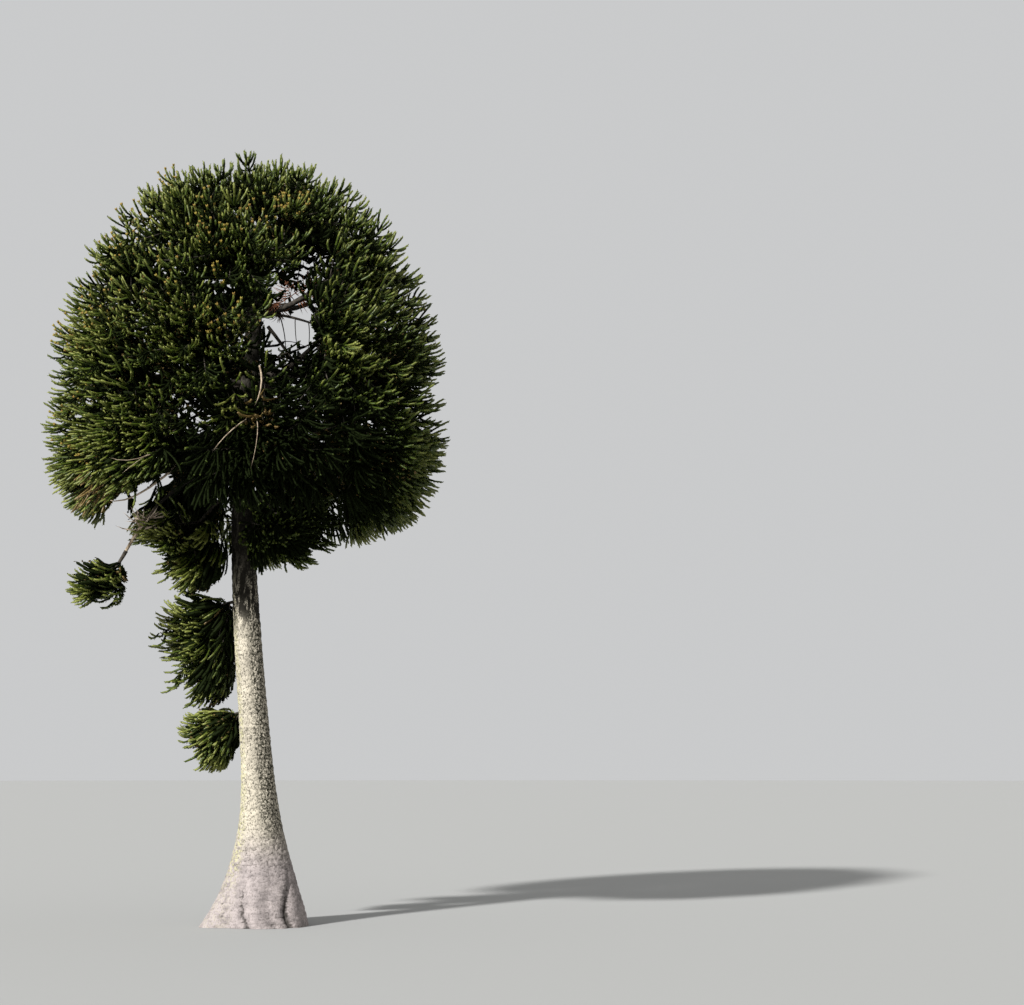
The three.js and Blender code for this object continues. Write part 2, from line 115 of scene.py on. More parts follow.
# Dry twigs that hang out of the leaves in front, and the thickness of each
FRONT_TWIGS = (
    ((0.36, -5.7, 17.1), (0.7, -6.75, 16.3), (0.37, -6.68, 15.64), 0.03),
    ((0.3, -5.6, 15.5), (0.55, -6.6, 14.8), (0.21, -6.2, 13.76), 0.014),
    ((0.0, -5.7, 15.45), (-0.4, -6.8, 14.9), (-0.88, -6.55, 14.29), 0.02),
    ((-2.7, -5.2, 14.6), (-3.4, -6.1, 13.95), (-4.16, -5.6, 14.3), 0.013),
    ((-2.9, -5.2, 14.55), (-3.3, -6.1, 14.05), (-3.8, -5.5, 13.78), 0.011),
)
FRONT_TAPER = (1.0, 0.95, 0.8, 0.65, 0.5)
# Painted shade: the bare limb turns dark from this X towards the trunk, over this far
SHADED_FROM, SHADED_OVER = -4.0, 0.5
# Tufts on the trunk: name, height where they leave, rise, middle, reach, size
TUFTS = (
    ("foliage_trunk_1", 10.45, 0.1, (-2.5, 0.65, 8.9), (1.55, 1.35, 2.05), 0.8),
    ("foliage_trunk_2", 6.85, -0.05, (-1.9, 0.45, 5.95), (1.15, 0.95, 1.15), 0.62),
)
TUFT_DROOP, HANGING_DROOP = 1.4, 1.1
# Shoots on top of a tuft stand up this much like those at the crown's top
TUFT_UPRIGHT = 0.85
# How much nearer to the trunk the lower twigs of a mass stand
TUFT_LEAN, SKIRT_LEAN, HANGING_LEAN = 0.55, 0.6, -0.5
# Masses under the dome are fuller than an ellipsoid, and looser than the dome
OVAL_FULLNESS, OVAL_LOOSE = 2.5, 1.33
# The dead limb in the gap, and the oval of its twigs
DEAD_LEAVES, DEAD_AZIMUTH, DEAD_RISE, DEAD_LENGTH = 20.5, 348, -0.12, 1.5
DEAD_CENTRE_Z, DEAD_REACH, DEAD_SIZE = 20.75, (1.25, 0.9, 1.25), 0.6
DEAD_LIMB_THICK, DEAD_TWIG_THICK, DEAD_SHOOT_RADII = 0.9, 0.6, (0.016, 0.014, 0.01, 0.006)
# Dark limbs that cross the gap as quadratic curves, and the thickness of each
GAP_LIMBS = (
    ((-0.2, 0.1, 20.2), (0.7, -0.2, 20.05), (1.7, -0.4, 19.6), 0.055),
    ((-0.2, 0.1, 19.75), (0.5, 0.1, 18.9), (1.2, -0.1, 17.7), 0.065),
    ((-0.3, -0.2, 18.65), (0.9, -0.4, 18.5), (2.4, -0.5, 18.75), 0.04),
    ((0.2, 0.0, 20.1), (0.42, 0.2, 19.5), (0.4, 0.3, 18.6), 0.022),
    ((0.75, -0.2, 20.0), (0.72, -0.1, 19.5), (0.85, 0.1, 18.7), 0.018),
    ((1.2, -0.3, 19.85), (1.3, -0.2, 19.4), (1.15, -0.1, 18.6), 0.018),
    ((0.3, 0.0, 19.2), (0.7, 0.1, 19.3), (1.2, 0.2, 19.0), 0.016),
)
GAP_LIMB_TAPER = (1.0, 0.95, 0.85, 0.8, 0.7, 0.6)

# The rule of growth: a stem, twigs to a patch of the dome's shell, and whorls of shoots along each twig.
# How far out in the dome the middles of its masses and of the tip's mass lie
MASS_DEPTH, TIP_DEPTH = 0.79, 0.9
# The share of the way to its mass's middle that a stem goes, and the part of it that bears twigs
STEM_SHARE, STEM_FIRST, STEM_LAST = 0.85, 0.3, 0.95
STEM_RADII = (0.078, 0.07, 0.06, 0.05, 0.04)
TWIG_SAG, TWIG_ATTEMPTS = 0.16, 3
# How far inside the crown's surface the twigs end, low in the crown and at its top, and how uneven it is
TWIG_INSET, TWIG_SHY = (0.85, 0.62), 0.3
# Clumps of twigs stand this much further out than the hollows between them
CLUMP = 0.5
CLUMP_WAVES = np.array([[2.1, 1.6, 0.7], [-0.8, 1.3, 2.7]])
# Reach of a mass's patch to the sides and up, on the dome and at its tip, and the share of an oval's reach
TWIG_SPREAD, TIP_SPREAD, OVAL_SPREAD = (3.7, 2.7), (2.4, 2.4), 0.85
# Twigs stand closer together at the crown's top, where the shoots are short
TOP_CLOSER = 0.95
# In an oval the twigs end at these depths by turns
OVAL_DEPTHS = (0.3, -0.25, -0.7)
# The twigs of the dome gather in layers one above another
LAYER, LAYER_SHARE = 1.0, 0.65
TWIG_RADII = (0.034, 0.03, 0.026, 0.022, 0.018)
# Leafy shoots grow along the outer part of each twig, and old shoots with few leaves along the inner part
OUTER_PART, INNER_PART, BOUGH_PART = (0.4, 1.0), (0.05, 0.36), (0.16, 0.95)
STEM_PART = (0.12, 1.0)
# A shoot that does not fit is tried again, shorter by this share each time
SHOOT_ATTEMPTS, SHOOT_SHORTER = 5, 0.14
# A shoot leaves its twig forward and down, and after this share of its length turns out, up and aside
SHOOT_FORWARD, SHOOT_DROOP, SHOOT_TURN, SHOOT_LIFT, SHOOT_SPLAY = 0.4, 1.3, 0.58, (0.3, 0.65), 0.3
# How far chance turns its end, and its place round the twig
SHOOT_STRAY, SHOOT_SHAKE = 0.5, 0.7
# Heights of the crown's underside and near its top, between which the growth changes
CROWN_LOW, CROWN_HIGH = 12.5, 23.5
# The last whorl of a twig points forward more by this share
LAST_FORWARD = 1.4
# The least share of its length that a shoot has, and how much chance adds
SHOOT_LEAST, SHOOT_MORE = 0.8, 0.3
# How long they are low in the crown, and at its top
SHOOT_REACH = (1.2, 0.62)
# Twigs inside the crown carry old shoots all along
INNER_INSETS, INNER_SPACING, INNER_WHORLS, INNER_SHOOTS = ((1.7, 1.4), (3.4, 2.7)), 1.3, 4, 4
# How far round its twig a shoot may stand from straight below: low in the crown, and at its top
SHOOT_ROUND = (105.0, 175.0)
GOLDEN_ANGLE = 137.508
# How far out in its space growth may go, its distance from limbs, and how far it may cross a border
SPACE_SHARE, LIMB_MARGIN, BORDER_OVERLAP = 0.985, 0.02, 0.8
BARE_LIMBS = ("foliage_hanging",)
# Masses that are full beside the trunk, dark there with painted shade, where more twigs with old shoots
# hang:
# how many of them, how far towards the trunk, how far to either side, and how far down the first and the
# last go
TRUNK_SIDE = ("foliage_skirt_1", "foliage_trunk_1")
SIDE_TWIGS, SIDE_IN, SIDE_ASIDE, SIDE_DOWN = 8, 0.6, 0.5, (0.1, 0.8)
# Shoots this near to the trunk hang down, how much, and over what distance that fades
BESIDE_TRUNK, BESIDE_HANG, BESIDE_FADE = 1.9, 1.5, 0.8
# Under the dome shoots point away from the trunk, with this much of the way out of their own mass
OWN_WAY = 0.45
# Masses whose stems carry leafy shoots as well
LEAFY_STEMS = ("foliage_trunk", "foliage_skirt")
# Steps between the places that are checked along a curve, and places on a bough
CHECKS, BOUGH_CHECKS = 8, 13
# The share of a twig or a shoot by its root that is free, because what bears it is there
TWIG_FREE, SHOOT_FREE = 0.4, 0.12
SHOOT_RADIUS = 0.055
# Whorls of old shoots on a twig, old shoots in a whorl, and whorls of them on a bough
OLD_WHORLS, OLD_SHOOTS, BOUGH_WHORLS = 4, 4, 9
# Sides of the tubes that limbs, stems, twigs and thin shoots are made of
LIMB_SIDES, STEM_SIDES, TWIG_SIDES, THIN_SIDES = 7, 8, 6, 5

UP = np.array([0.0, 0.0, 1.0])
CROWN_CORE = np.array([CROWN_X, CROWN_Y, CROWN_MIDDLE])


def smooth(x):
    x = np.clip(x, 0, 1)
    return x * x * (3 - 2 * x)


def mix(a, b, share):
    return a + (b - a) * share


def unit(v):
    return v / np.maximum(np.linalg.norm(v, axis=-1, keepdims=True), 1e-9)


def chance(a, b):
    """The same value from 0 to 1 for the same two seeds, every time."""
    x = np.sin(a * 12.9898 + b * 78.233) * 43758.5453
    return x - np.floor(x)


def flat_way(azimuth):
    return np.array([math.cos(math.radians(azimuth)), math.sin(math.radians(azimuth)), 0.0])


def turned(angle):
    """The same angle in degrees, from -180 to 180."""
    return (angle + 540) % 360 - 180


def trunk_axis(z):
    """The middle of the leaning trunk at these heights."""
    z = np.asarray(z, float)
    away = LEAN_AWAY * smooth(z / LEAN_BEND)
    back = LEAN_BACK * smooth((z - LEAN_BEND) / (LEAN_END - LEAN_BEND))
    return np.stack([back - away, LEAN_Y * smooth(z / TRUNK_HEIGHT), z], axis=-1)


def trunk_radius(z):
    taper = np.sqrt(np.maximum(0, 1 - z / TRUNK_HEIGHT))
    flare = FLARE_SPREAD * np.exp(-((np.maximum(z, 0) / FLARE_HEIGHT) ** FLARE_FALL))
    return TRUNK_TIP_RADIUS + (TRUNK_RADIUS - TRUNK_TIP_RADIUS) * taper + flare


def toe_reach(azimuth, z):
    """How far the toes of the root flare reach past the foot's round radius."""
    reach = np.zeros_like(azimuth)
    for toe, length in TOES:
        away = turned(azimuth - toe) / TOE_WIDTH
        reach += length * np.exp(-z / TOE_HEIGHT) * np.exp(-(away**2))
    return reach


def dome_share(p):
    """How far out in the dome a point lies: 1 is on its surface."""
    across = np.hypot(p[..., 0] - CROWN_X, p[..., 1] - CROWN_Y) / CROWN_RADIUS
    rise = p[..., 2] - CROWN_MIDDLE
    up = np.abs(rise) / np.where(rise > 0, CROWN_ABOVE, CROWN_BELOW)
    fullness = np.where(rise > 0, CROWN_FULLNESS, FULLNESS_BELOW)
    return (across**fullness + up**fullness) ** (1 / fullness)


def crown_height(z):
    """0 at the crown's underside and 1 near its top."""
    return np.clip((z - CROWN_LOW) / (CROWN_HIGH - CROWN_LOW), 0, 1)


def dome_point(azimuth, latitude, depth):
    """A point at this share of the way from the dome's core to its surface."""
    side = math.cos(math.radians(latitude)) ** (2 / CROWN_FULLNESS)
    rise = abs(math.sin(math.radians(latitude))) ** (2 / CROWN_FULLNESS)
    height = CROWN_ABOVE if latitude > 0 else -CROWN_BELOW
    return CROWN_CORE + depth * (CROWN_RADIUS * side * flat_way(azimuth) + height * rise * UP)


@dataclass(eq=False)
class Mass:
    """A mass of foliage. One with a reach keeps to an oval of its own round its middle."""

    name: str
    number: int
    start: np.ndarray
    along: np.ndarray
    middle: np.ndarray
    size: float = 1.0
    reach: np.ndarray = None
    droop: float = None
    lean: float = 0.0
    spread: tuple = TWIG_SPREAD
    bare: bool = False


@dataclass(eq=False)
class Bough:
    """A limb from the trunk to the start of a mass, along a quadratic curve."""

    name: str
    curve: np.ndarray
    size: float = 1.0


def outward(p, mass):
    """The way out of the dome, or of the mass's own oval."""
    if mass.reach is not None:
        return unit((p - mass.middle) / mass.reach**2)
    rise = p[..., 2] - CROWN_MIDDLE
    height = np.where(rise > 0, CROWN_ABOVE, CROWN_BELOW)
    flat = (p[..., :2] - CROWN_CORE[:2]) / CROWN_RADIUS**2
    return unit(np.concatenate([flat, (rise / height**2)[..., None]], axis=-1))


def points_on(curves, t):
    """Points on quadratic curves: n curves of 3 control points and m shares give n x m points."""
    t = np.asarray(t, float)[..., None]
    a, b, c = (curves[:, None, i] for i in range(3))
    return a * (1 - t) ** 2 + 2 * b * t * (1 - t) + c * t * t


def ways_on(curves, t):
    t = np.asarray(t, float)[..., None]
    a, b, c = (curves[:, None, i] for i in range(3))
    return unit((b - a) * (1 - t) + (c - b) * t)


def sweep(root, leaving, ending, length, turn=0.5):
    """A curve that leaves its root one way and ends another way. turn is the share before it turns."""
    length = np.asarray(length, float)[..., None]
    middle = root + leaving * length * turn
    return np.stack([root, middle, middle + ending * length * (1 - turn)], axis=-2)


def bough_curve(azimuth, leaves, tip, sag, seed):
    """A bough from the trunk at the height where it leaves to its tip, with a bend between."""
    along = flat_way(azimuth)
    root = trunk_axis(leaves)
    end = np.array([CROWN_X + tip[0] * along[0], CROWN_Y + tip[0] * along[1], tip[1]])
    bend = (root + end) / 2 - sag * UP
    bend += np.array([-along[1], along[0], 0]) * BOUGH_SWAY * (chance(seed, 3) - 0.5)
    return np.array([root, bend, end])


@functools.cache
def skeleton():
    """The boughs and the masses, in the order of the part."""
    boughs, masses = [], []

    def add_mass(name, start, along, middle, **more):
        masses.append(Mass(name, len(masses), start, along, np.asarray(middle, float), **more))

    def add_limb(name, curve, size=1.0):
        boughs.append(Bough("bough_" + name, curve, size))
        return curve[2], unit(curve[2] - curve[1])

    for w, (name, count, turn, latitude, leaves, tip, sag) in enumerate(WHORLS):
        for i in range(count):
            azimuth = turn + 360 / count * i
            height = leaves + (BOUGH_STAGGER if i % 2 else -BOUGH_STAGGER)
            curve = bough_curve(azimuth, height, tip, sag, 10 * w + i)
            start, along = add_limb(f"{name}_{i + 1}", curve)
            add_mass(f"foliage_{name}_{i + 1}", start, along, dome_point(azimuth, latitude, MASS_DEPTH))

    top = dome_point(0, 90, TIP_DEPTH)
    add_mass("foliage_tip", trunk_axis(TRUNK_HEIGHT), UP, top, spread=TIP_SPREAD)

    for i in range(SKIRT_COUNT):
        azimuth = SKIRT_TURN + 360 / SKIRT_COUNT * i
        curve = bough_curve(azimuth, SKIRT_LEAVES, SKIRT_TIP, SKIRT_SAG, 60 + i)
        start, along = add_limb(f"skirt_{i + 1}", curve, SKIRT_SIZE)
        centre = np.array([CROWN_X, CROWN_Y, 0]) + SKIRT_MIDDLE[0] * flat_way(azimuth)
        centre[2] = SKIRT_MIDDLE[1] + SKIRT_STEP * i
        reach = np.array(SKIRT_REACH)
        more = {"reach": reach, "size": SKIRT_SIZE, "lean": SKIRT_LEAN}
        add_mass(f"foliage_skirt_{i + 1}", start, along, centre, **more)

    curve = np.array([trunk_axis(HANGING_LEAVES), HANGING_BEND, HANGING_TIP])
    start, along = add_limb("hanging", curve, HANGING_SIZE)
    reach = np.array(HANGING_REACH)
    more = {"reach": reach, "size": HANGING_BROOM, "droop": HANGING_DROOP, "lean": HANGING_LEAN}
    add_mass("foliage_hanging", start, along, HANGING_CENTRE, **more)

    for name, leaves, rise, centre, reach, size in TUFTS:
        start = trunk_axis(leaves)
        along = np.asarray(centre) - start
        along[2] = rise
        more = {"reach": np.array(reach), "size": size, "droop": TUFT_DROOP, "lean": TUFT_LEAN}
        add_mass(name, start, unit(along), centre, **more)

    start = trunk_axis(DEAD_LEAVES)
    along = unit(flat_way(DEAD_AZIMUTH) + DEAD_RISE * UP)
    centre = start + along * DEAD_LENGTH
    centre[2] = DEAD_CENTRE_Z
    add_mass("twigs_dead", start, along, centre, reach=np.array(DEAD_REACH), bare=True)
    return boughs, masses


def space_share(points, mass):
    """How far out in the mass's space each point lies: 1 is on its surface."""
    if mass.reach is not None:
        away = np.abs(points - mass.middle) / mass.reach
        return (away**OVAL_FULLNESS).sum(axis=-1) ** (1 / OVAL_FULLNESS)
    return dome_share(points)


def fits(curves, radius, mass, first, off_boughs=True):
    """Whether each curve keeps to its own space and clear of the trunk, the boughs and the gaps.

    It is checked from the share first of its length on.
    """
    points = points_on(curves, np.linspace(first, 1, CHECKS + 1))
    fine = space_share(points, mass) < SPACE_SHARE
    axis = trunk_axis(points[..., 2])
    off = np.linalg.norm(points[..., :2] - axis[..., :2], axis=-1)
    clear = radius + LIMB_MARGIN
    fine &= (off > trunk_radius(points[..., 2]) + clear) | (points[..., 2] > TRUNK_HEIGHT + clear)
    ragged = mix(*GAP_RAGGED, chance(np.arange(len(curves)), mass.number))[:, None]
    for point, way, across, taller in [] if mass.bare else GAPS:
        away = points - point
        away = (away - away[..., 1:2] * way) / [1, 1, taller]
        fine &= np.linalg.norm(away, axis=-1) > across * ragged + radius
    boughs, masses = skeleton()
    for other in masses:
        if other is not mass:
            across = unit(mass.middle - other.middle)
            border = (mass.middle + other.middle) / 2
            fine &= (points - border) @ across > -BORDER_OVERLAP
    for bough in boughs if off_boughs else []:
        samples = points_on(bough.curve[None], np.linspace(0, 1, BOUGH_CHECKS))[0]
        gaps = np.linalg.norm(points[:, :, None] - samples, axis=-1).min(axis=-1)
        fine &= gaps > BOUGH_ROOT * bough.size + clear
    return fine.all(axis=-1)


def first_that_fit(tries, radius, mass, first, off_boughs=True):
    """Of several tries at the same curves, the first of each that fits, and which of them found a place."""
    grown, placed = 0, False
    for tried in tries:
        new = fits(tried, radius, mass, first, off_boughs) & ~np.broadcast_to(placed, len(tried))
        grown = np.where(new[:, None, None], tried, grown)
        placed = placed | new
    return grown, placed


def twig_ends(mass, spacing, inset, layered):
    """The twigs share out the mass's patch along a spiral, and keep to the side nearer to its middle."""
    if mass.reach is not None:
        area = 2 * math.pi * mass.reach[0] * mass.reach[2]
        count = round(area / (spacing * mass.size * OVAL_LOOSE) ** 2)
    else:
        apart = spacing * mix(1, TOP_CLOSER, crown_height(mass.middle[2]))
        count = round(math.pi * mass.spread[0] * mass.spread[1] / apart**2)
    out = outward(mass.middle + mass.along if mass.reach is not None else mass.middle, mass)
    # Any level side will do where the way out is straight up
    side = np.array([1.0, 0, 0]) if out[2] > 0.999 else unit(np.array([-out[1], out[0], 0.001]))
    rise = np.cross(out, side)
    j = np.arange(count)
    turn = np.radians(j * GOLDEN_ANGLE + 360 * chance(mass.number, 7))
    across = np.sqrt((j + 0.5) / count)
    sideways = (np.cos(turn) * across)[:, None] * side
    upwards = (np.sin(turn) * across)[:, None] * rise
    if mass.reach is not None:
        depths = np.resize(OVAL_DEPTHS, count)[:, None] * out
        ends = mass.middle + (sideways + upwards + depths) * OVAL_SPREAD * mass.reach
        return ends + mass.lean * (ends - mass.middle)[:, 2:] * out * [1, 1, 0]
    ends = mass.middle + sideways * mass.spread[0] + upwards * mass.spread[1]
    if layered:
        from_layer = (ends[:, 2] / LAYER + chance(mass.number, 9) + 0.5) % 1 - 0.5
        ends[:, 2] -= from_layer * LAYER * LAYER_SHARE
    surface = CROWN_CORE + (ends - CROWN_CORE) / dome_share(ends)[:, None]
    depth = mix(*inset, crown_height(surface[:, 2])) * (1 + TWIG_SHY * chance(j, mass.number))
    depth += CLUMP * (0.5 + 0.5 * np.sin(surface @ CLUMP_WAVES[0]) * np.sin(surface @ CLUMP_WAVES[1]))
    ends = surface + unit(CROWN_CORE - surface) * depth[:, None]
    own = np.linalg.norm(ends - mass.middle, axis=-1)
    others = [np.linalg.norm(ends - other.middle, axis=-1) for other in skeleton()[1] if other is not mass]
    return ends[own <= np.min(others, axis=0)]


def trunk_side_ends(mass):
    """Twigs beside the trunk end one below another, to one side and the other."""
    out = unit(mass.along * [1, 1, 0])
    side = np.cross(UP, out)
    number = np.arange(SIDE_TWIGS)
    aside = SIDE_ASIDE * np.sin(2.4 * number)[:, None] * side
    down = mix(*SIDE_DOWN, number / (SIDE_TWIGS - 1))[:, None] * UP
    return mass.middle + (aside - SIDE_IN * out - down) * mass.reach


def grow_twigs(mass, stem, furthest):
    """Twigs from the stem to these ends, or nearer to the mass's middle where they would not fit."""
    leaves = points_on(stem[None], np.linspace(STEM_LAST, STEM_FIRST, len(furthest)))[0]
    tries = []
    for attempt in range(TWIG_ATTEMPTS):
        ends = mix(furthest, mass.middle, attempt / (TWIG_ATTEMPTS + 2))
        bends = (leaves + ends) / 2 - UP * TWIG_SAG * mass.size
        tries.append(np.stack([leaves, bends, ends], axis=1))
    twigs, placed = first_that_fit(tries, TWIG_RADII[0], mass, TWIG_FREE)
    return twigs[placed]


def sideways_frame(curves, t):
    """Two directions across each curve at the shares t. A quadratic curve lies in one plane."""
    ways = ways_on(curves, t)
    flat = np.cross(curves[:, 1] - curves[:, 0], curves[:, 2] - curves[:, 1])
    straight = np.linalg.norm(flat, axis=-1) < 1e-6
    flat[straight] = np.cross(ways[straight, 0], [0.3, 0.9, 0.2])
    flat = np.broadcast_to(unit(flat)[:, None], ways.shape)
    return ways, np.cross(flat, ways), flat


def grow_shoots(mass, twigs, part, whorls, shoots, longest, off_boughs=True):
    """Whorls of shoots along a part of each twig: they leave sideways, hang and turn out and up."""
    at = np.linspace(*part, whorls)
    roots = points_on(twigs, at)
    ways = ways_on(twigs, at)
    level = unit(np.cross(UP, ways) + 1e-3)
    below = np.cross(level, ways)
    twig = np.arange(len(twigs))[:, None, None]
    whorl = np.arange(whorls)[None, :, None]
    place = np.arange(shoots)[None, None, :]
    seed = 1000 * mass.number + 40 * twig + whorl + part[0]
    height = crown_height(roots[..., 2])
    length_share = mix(*SHOOT_REACH, height)
    if mass.droop is not None:
        height = TUFT_UPRIGHT * smooth(0.5 + 0.6 * (roots[..., 2] - mass.middle[2]) / mass.reach[2])
    share = (place + 0.5 + SHOOT_SHAKE * (chance(seed, 20 + place) - 0.5)) / shoots * 2 - 1
    turn = np.radians(share * mix(*SHOOT_ROUND, height)[..., None])
    side = np.cos(turn)[..., None] * below[:, :, None] + np.sin(turn)[..., None] * level[:, :, None]
    forward = SHOOT_FORWARD * (1 + LAST_FORWARD * (at[whorl] == 1))[..., None]
    droop = mix(mass.droop or SHOOT_DROOP, 0, height)
    leaving = unit(side + forward * ways[:, :, None] - droop[:, :, None, None] * UP)
    out = outward(roots, mass)[:, :, None]
    lift = mix(*SHOOT_LIFT, height)[..., None]
    if mass.reach is not None and not mass.bare:
        # Masses under the dome sweep away from the trunk, and hang beside it
        away = roots - trunk_axis(roots[..., 2])
        out = unit(OWN_WAY * out + unit(away)[:, :, None])
        off = np.linalg.norm(away, axis=-1, keepdims=True)
        lift = lift - BESIDE_HANG * smooth((BESIDE_TRUNK - off) / BESIDE_FADE)
    stray = np.stack([chance(seed, 70 + 3 * k + place) - 0.5 for k in range(3)], axis=-1) * SHOOT_STRAY
    ending = unit(out + lift[:, :, None] * UP + SHOOT_SPLAY * side + stray)
    root = np.broadcast_to(roots[:, :, None], side.shape)
    length = longest * mass.size**0.5 * length_share[:, :, None]
    length = length * (SHOOT_LEAST + SHOOT_MORE * chance(seed, 60 + place))
    spray = np.broadcast_to(twig, side.shape[:3])
    root, leaving, ending = (a.reshape(-1, 3) for a in (root, leaving, ending))
    length, spray = length.ravel(), spray.ravel()
    if part[1] == 1:
        # One more shoot goes on from the end of each twig
        root = np.concatenate([root, roots[:, -1]])
        leaving = np.concatenate([leaving, ways[:, -1]])
        ending = np.concatenate([ending, unit(out[:, -1, 0] + lift[:, -1] * UP)])
        length = np.concatenate([length, longest * mass.size**0.5 * length_share[:, -1]])
        spray = np.concatenate([spray, np.arange(len(twigs))])
    shorter = [length * (1 - SHOOT_SHORTER * attempt) for attempt in range(SHOOT_ATTEMPTS)]
    tries = [sweep(root, leaving, ending, tried, SHOOT_TURN) for tried in shorter]
    grown, placed = first_that_fit(tries, SHOOT_RADIUS, mass, SHOOT_FREE, off_boughs)
    return grown[placed], spray[placed]


@dataclass(eq=False)
class Growth:
    """What grows in one mass. spray tells the twig that each shoot belongs to."""

    mass: Mass
    stem: np.ndarray
    twigs: np.ndarray
    shoots: np.ndarray
    spray: np.ndarray
    old_shoots: np.ndarray
    old_spray: np.ndarray


@functools.cache
def grow_all(spacing, whorls, shoots, longest):
    """What grows in every mass, by its name."""
    grown, boughs = {}, {bough.name: bough for bough in skeleton()[0]}
    for mass in skeleton()[1]:
        ahead = mass.middle - mass.start
        reach = np.linalg.norm(ahead) * STEM_SHARE
        stem = sweep(mass.start, mass.along, unit(ahead), reach)
        twigs = grow_twigs(mass, stem, twig_ends(mass, spacing, TWIG_INSET, True))
        longer = longest * (DEAD_SIZE if mass.bare else 1)
        leafy = [grow_shoots(mass, twigs, OUTER_PART, whorls, shoots, longer)]
        if mass.name.startswith(LEAFY_STEMS):
            on_stem, spray = grow_shoots(mass, stem[None], STEM_PART, 2 * whorls, shoots + 1, longer)
            leafy.append((on_stem, spray + len(twigs)))
        old = [grow_shoots(mass, twigs, INNER_PART, OLD_WHORLS, OLD_SHOOTS, longest)]
        inner_ends = []
        if mass.reach is None:
            inner_ends = [twig_ends(mass, INNER_SPACING, inset, False) for inset in INNER_INSETS]
        elif mass.name in TRUNK_SIDE:
            inner_ends = [trunk_side_ends(mass)]
        for ends in inner_ends:
            inner = grow_twigs(mass, stem, ends)
            old.append(grow_shoots(mass, inner, OUTER_PART, INNER_WHORLS, INNER_SHOOTS, longest))
            twigs = np.concatenate([twigs, inner])
        bough = boughs.get(mass.name.replace("foliage", "bough"))
        if bough is not None and mass.name not in BARE_LIMBS:
            limb = bough.curve[None]
            old.append(grow_shoots(mass, limb, BOUGH_PART, BOUGH_WHORLS, OLD_SHOOTS, longest, False))
        old_shoots, old_spray = (np.concatenate(parts) for parts in zip(*old))
        new_shoots, spray = (np.concatenate(parts) for parts in zip(*leafy))
        grown[mass.name] = Growth(mass, stem, twigs, new_shoots, spray, old_shoots, old_spray)
    return grown


def growth():
    leaf = bpy.context.scene.tree_foliage
    return grow_all(round(leaf.spacing, 4), leaf.whorls, leaf.shoots, round(leaf.shoot_length, 4))


# Meshes


def mesh_object(name, points, faces, materials, indices=None):
    """A new object from arrays: n x 3 points, and triangles as m x 3 corner numbers."""
    mesh = bpy.data.meshes.new(name)
    mesh.vertices.add(len(points))
    mesh.vertices.foreach_set("co", np.ascontiguousarray(points, np.float32).ravel())
    mesh.loops.add(faces.size)
    mesh.loops.foreach_set("vertex_index", np.ascontiguousarray(faces, np.int32).ravel())
    mesh.polygons.add(len(faces))
    mesh.polygons.foreach_set("loop_start", np.arange(0, faces.size, 3, dtype=np.int32))
    for material in materials:
        mesh.materials.append(material)
    if indices is not None:
        mesh.polygons.foreach_set("material_index", np.ascontiguousarray(indices, np.int32))
    mesh.update(calc_edges=True)
    piece = bpy.data.objects.new(name, mesh)
    bpy.context.scene.collection.objects.link(piece)
    return piece


def tubes(curves, radii, sides, thickness=1.0, at=None):
    """Closed tubes with a pointed end along the curves, and the ring of each face of one tube.

    radii are the widths from ring to ring, and at the shares of the length where the rings and the end lie.
    """
    count, rings = len(curves), len(radii)
    at = np.linspace(0, 1, rings + 1) if at is None else np.asarray(at)
    middles = points_on(curves, at)
    _, across, flat = sideways_frame(curves, at)
    turn = np.arange(sides) * 2 * np.pi / sides
    round_way = (
        across[:, :-1, None] * np.cos(turn)[:, None] + flat[:, :-1, None] * np.sin(turn)[:, None]
    )
    width = np.asarray(radii) * np.broadcast_to(thickness, (count,))[:, None]
    skin = middles[:, :-1, None] + round_way * width[:, :, None, None]
    points = np.concatenate([skin.reshape(count, -1, 3), middles[:, -1:], middles[:, :1]], axis=1)
    tip, root = rings * sides, rings * sides + 1
    faces, ring_of_face = [], []
    for k in range(sides):
        after = (k + 1) % sides
        for ring in range(rings - 1):
            a, b = ring * sides + k, ring * sides + after
            faces += [(a, b, b + sides), (a, b + sides, a + sides)]
            ring_of_face += [ring, ring]
        faces.append(((rings - 1) * sides + k, (rings - 1) * sides + after, tip))
        faces.append((after, k, root))
        ring_of_face += [rings - 1, 0]
    shifted = np.asarray(faces)[None] + (np.arange(count) * points.shape[1])[:, None, None]
    return points.reshape(-1, 3), shifted.reshape(-1, 3), np.array(ring_of_face)


# Length of shoot to a leaf, and leaves are counted in these steps from the least number on
LEAF_PITCH, LEAF_STEP, LEAF_LEAST = 0.057, 4, 8
# Old shoots have few and large leaves, and this share of them is brown
OLD_LEAF_COUNT, OLD_LEAF_SIZE, OLD_BROWN_SHARE = 6, 1.6, 0.12
# Leaves sit from the first to the last of these shares of a shoot, and start this far out in its core
LEAF_FIRST, LEAF_LAST, LEAF_SEAT = 0.06, 0.97, 0.6
# Where a leaf is widest, how deep its fold is, and its angle at the shoot's root and tip
LEAF_WIDEST, LEAF_FOLD, LEAF_ANGLES = 0.4, 0.28, (27.0, 24.0)
# Green cores of shoots and of old shoots: radii, and where they lie
CORE_SIDES = 3
CORE_RADII, CORE_AT, CORE_END = (0.028, 0.037, 0.04, 0.035), (0, 0.4, 0.75, 0.96, 1), 0.03
OLD_RADII, OLD_AT = (0.042, 0.062, 0.058), (0, 0.5, 0.92, 1)


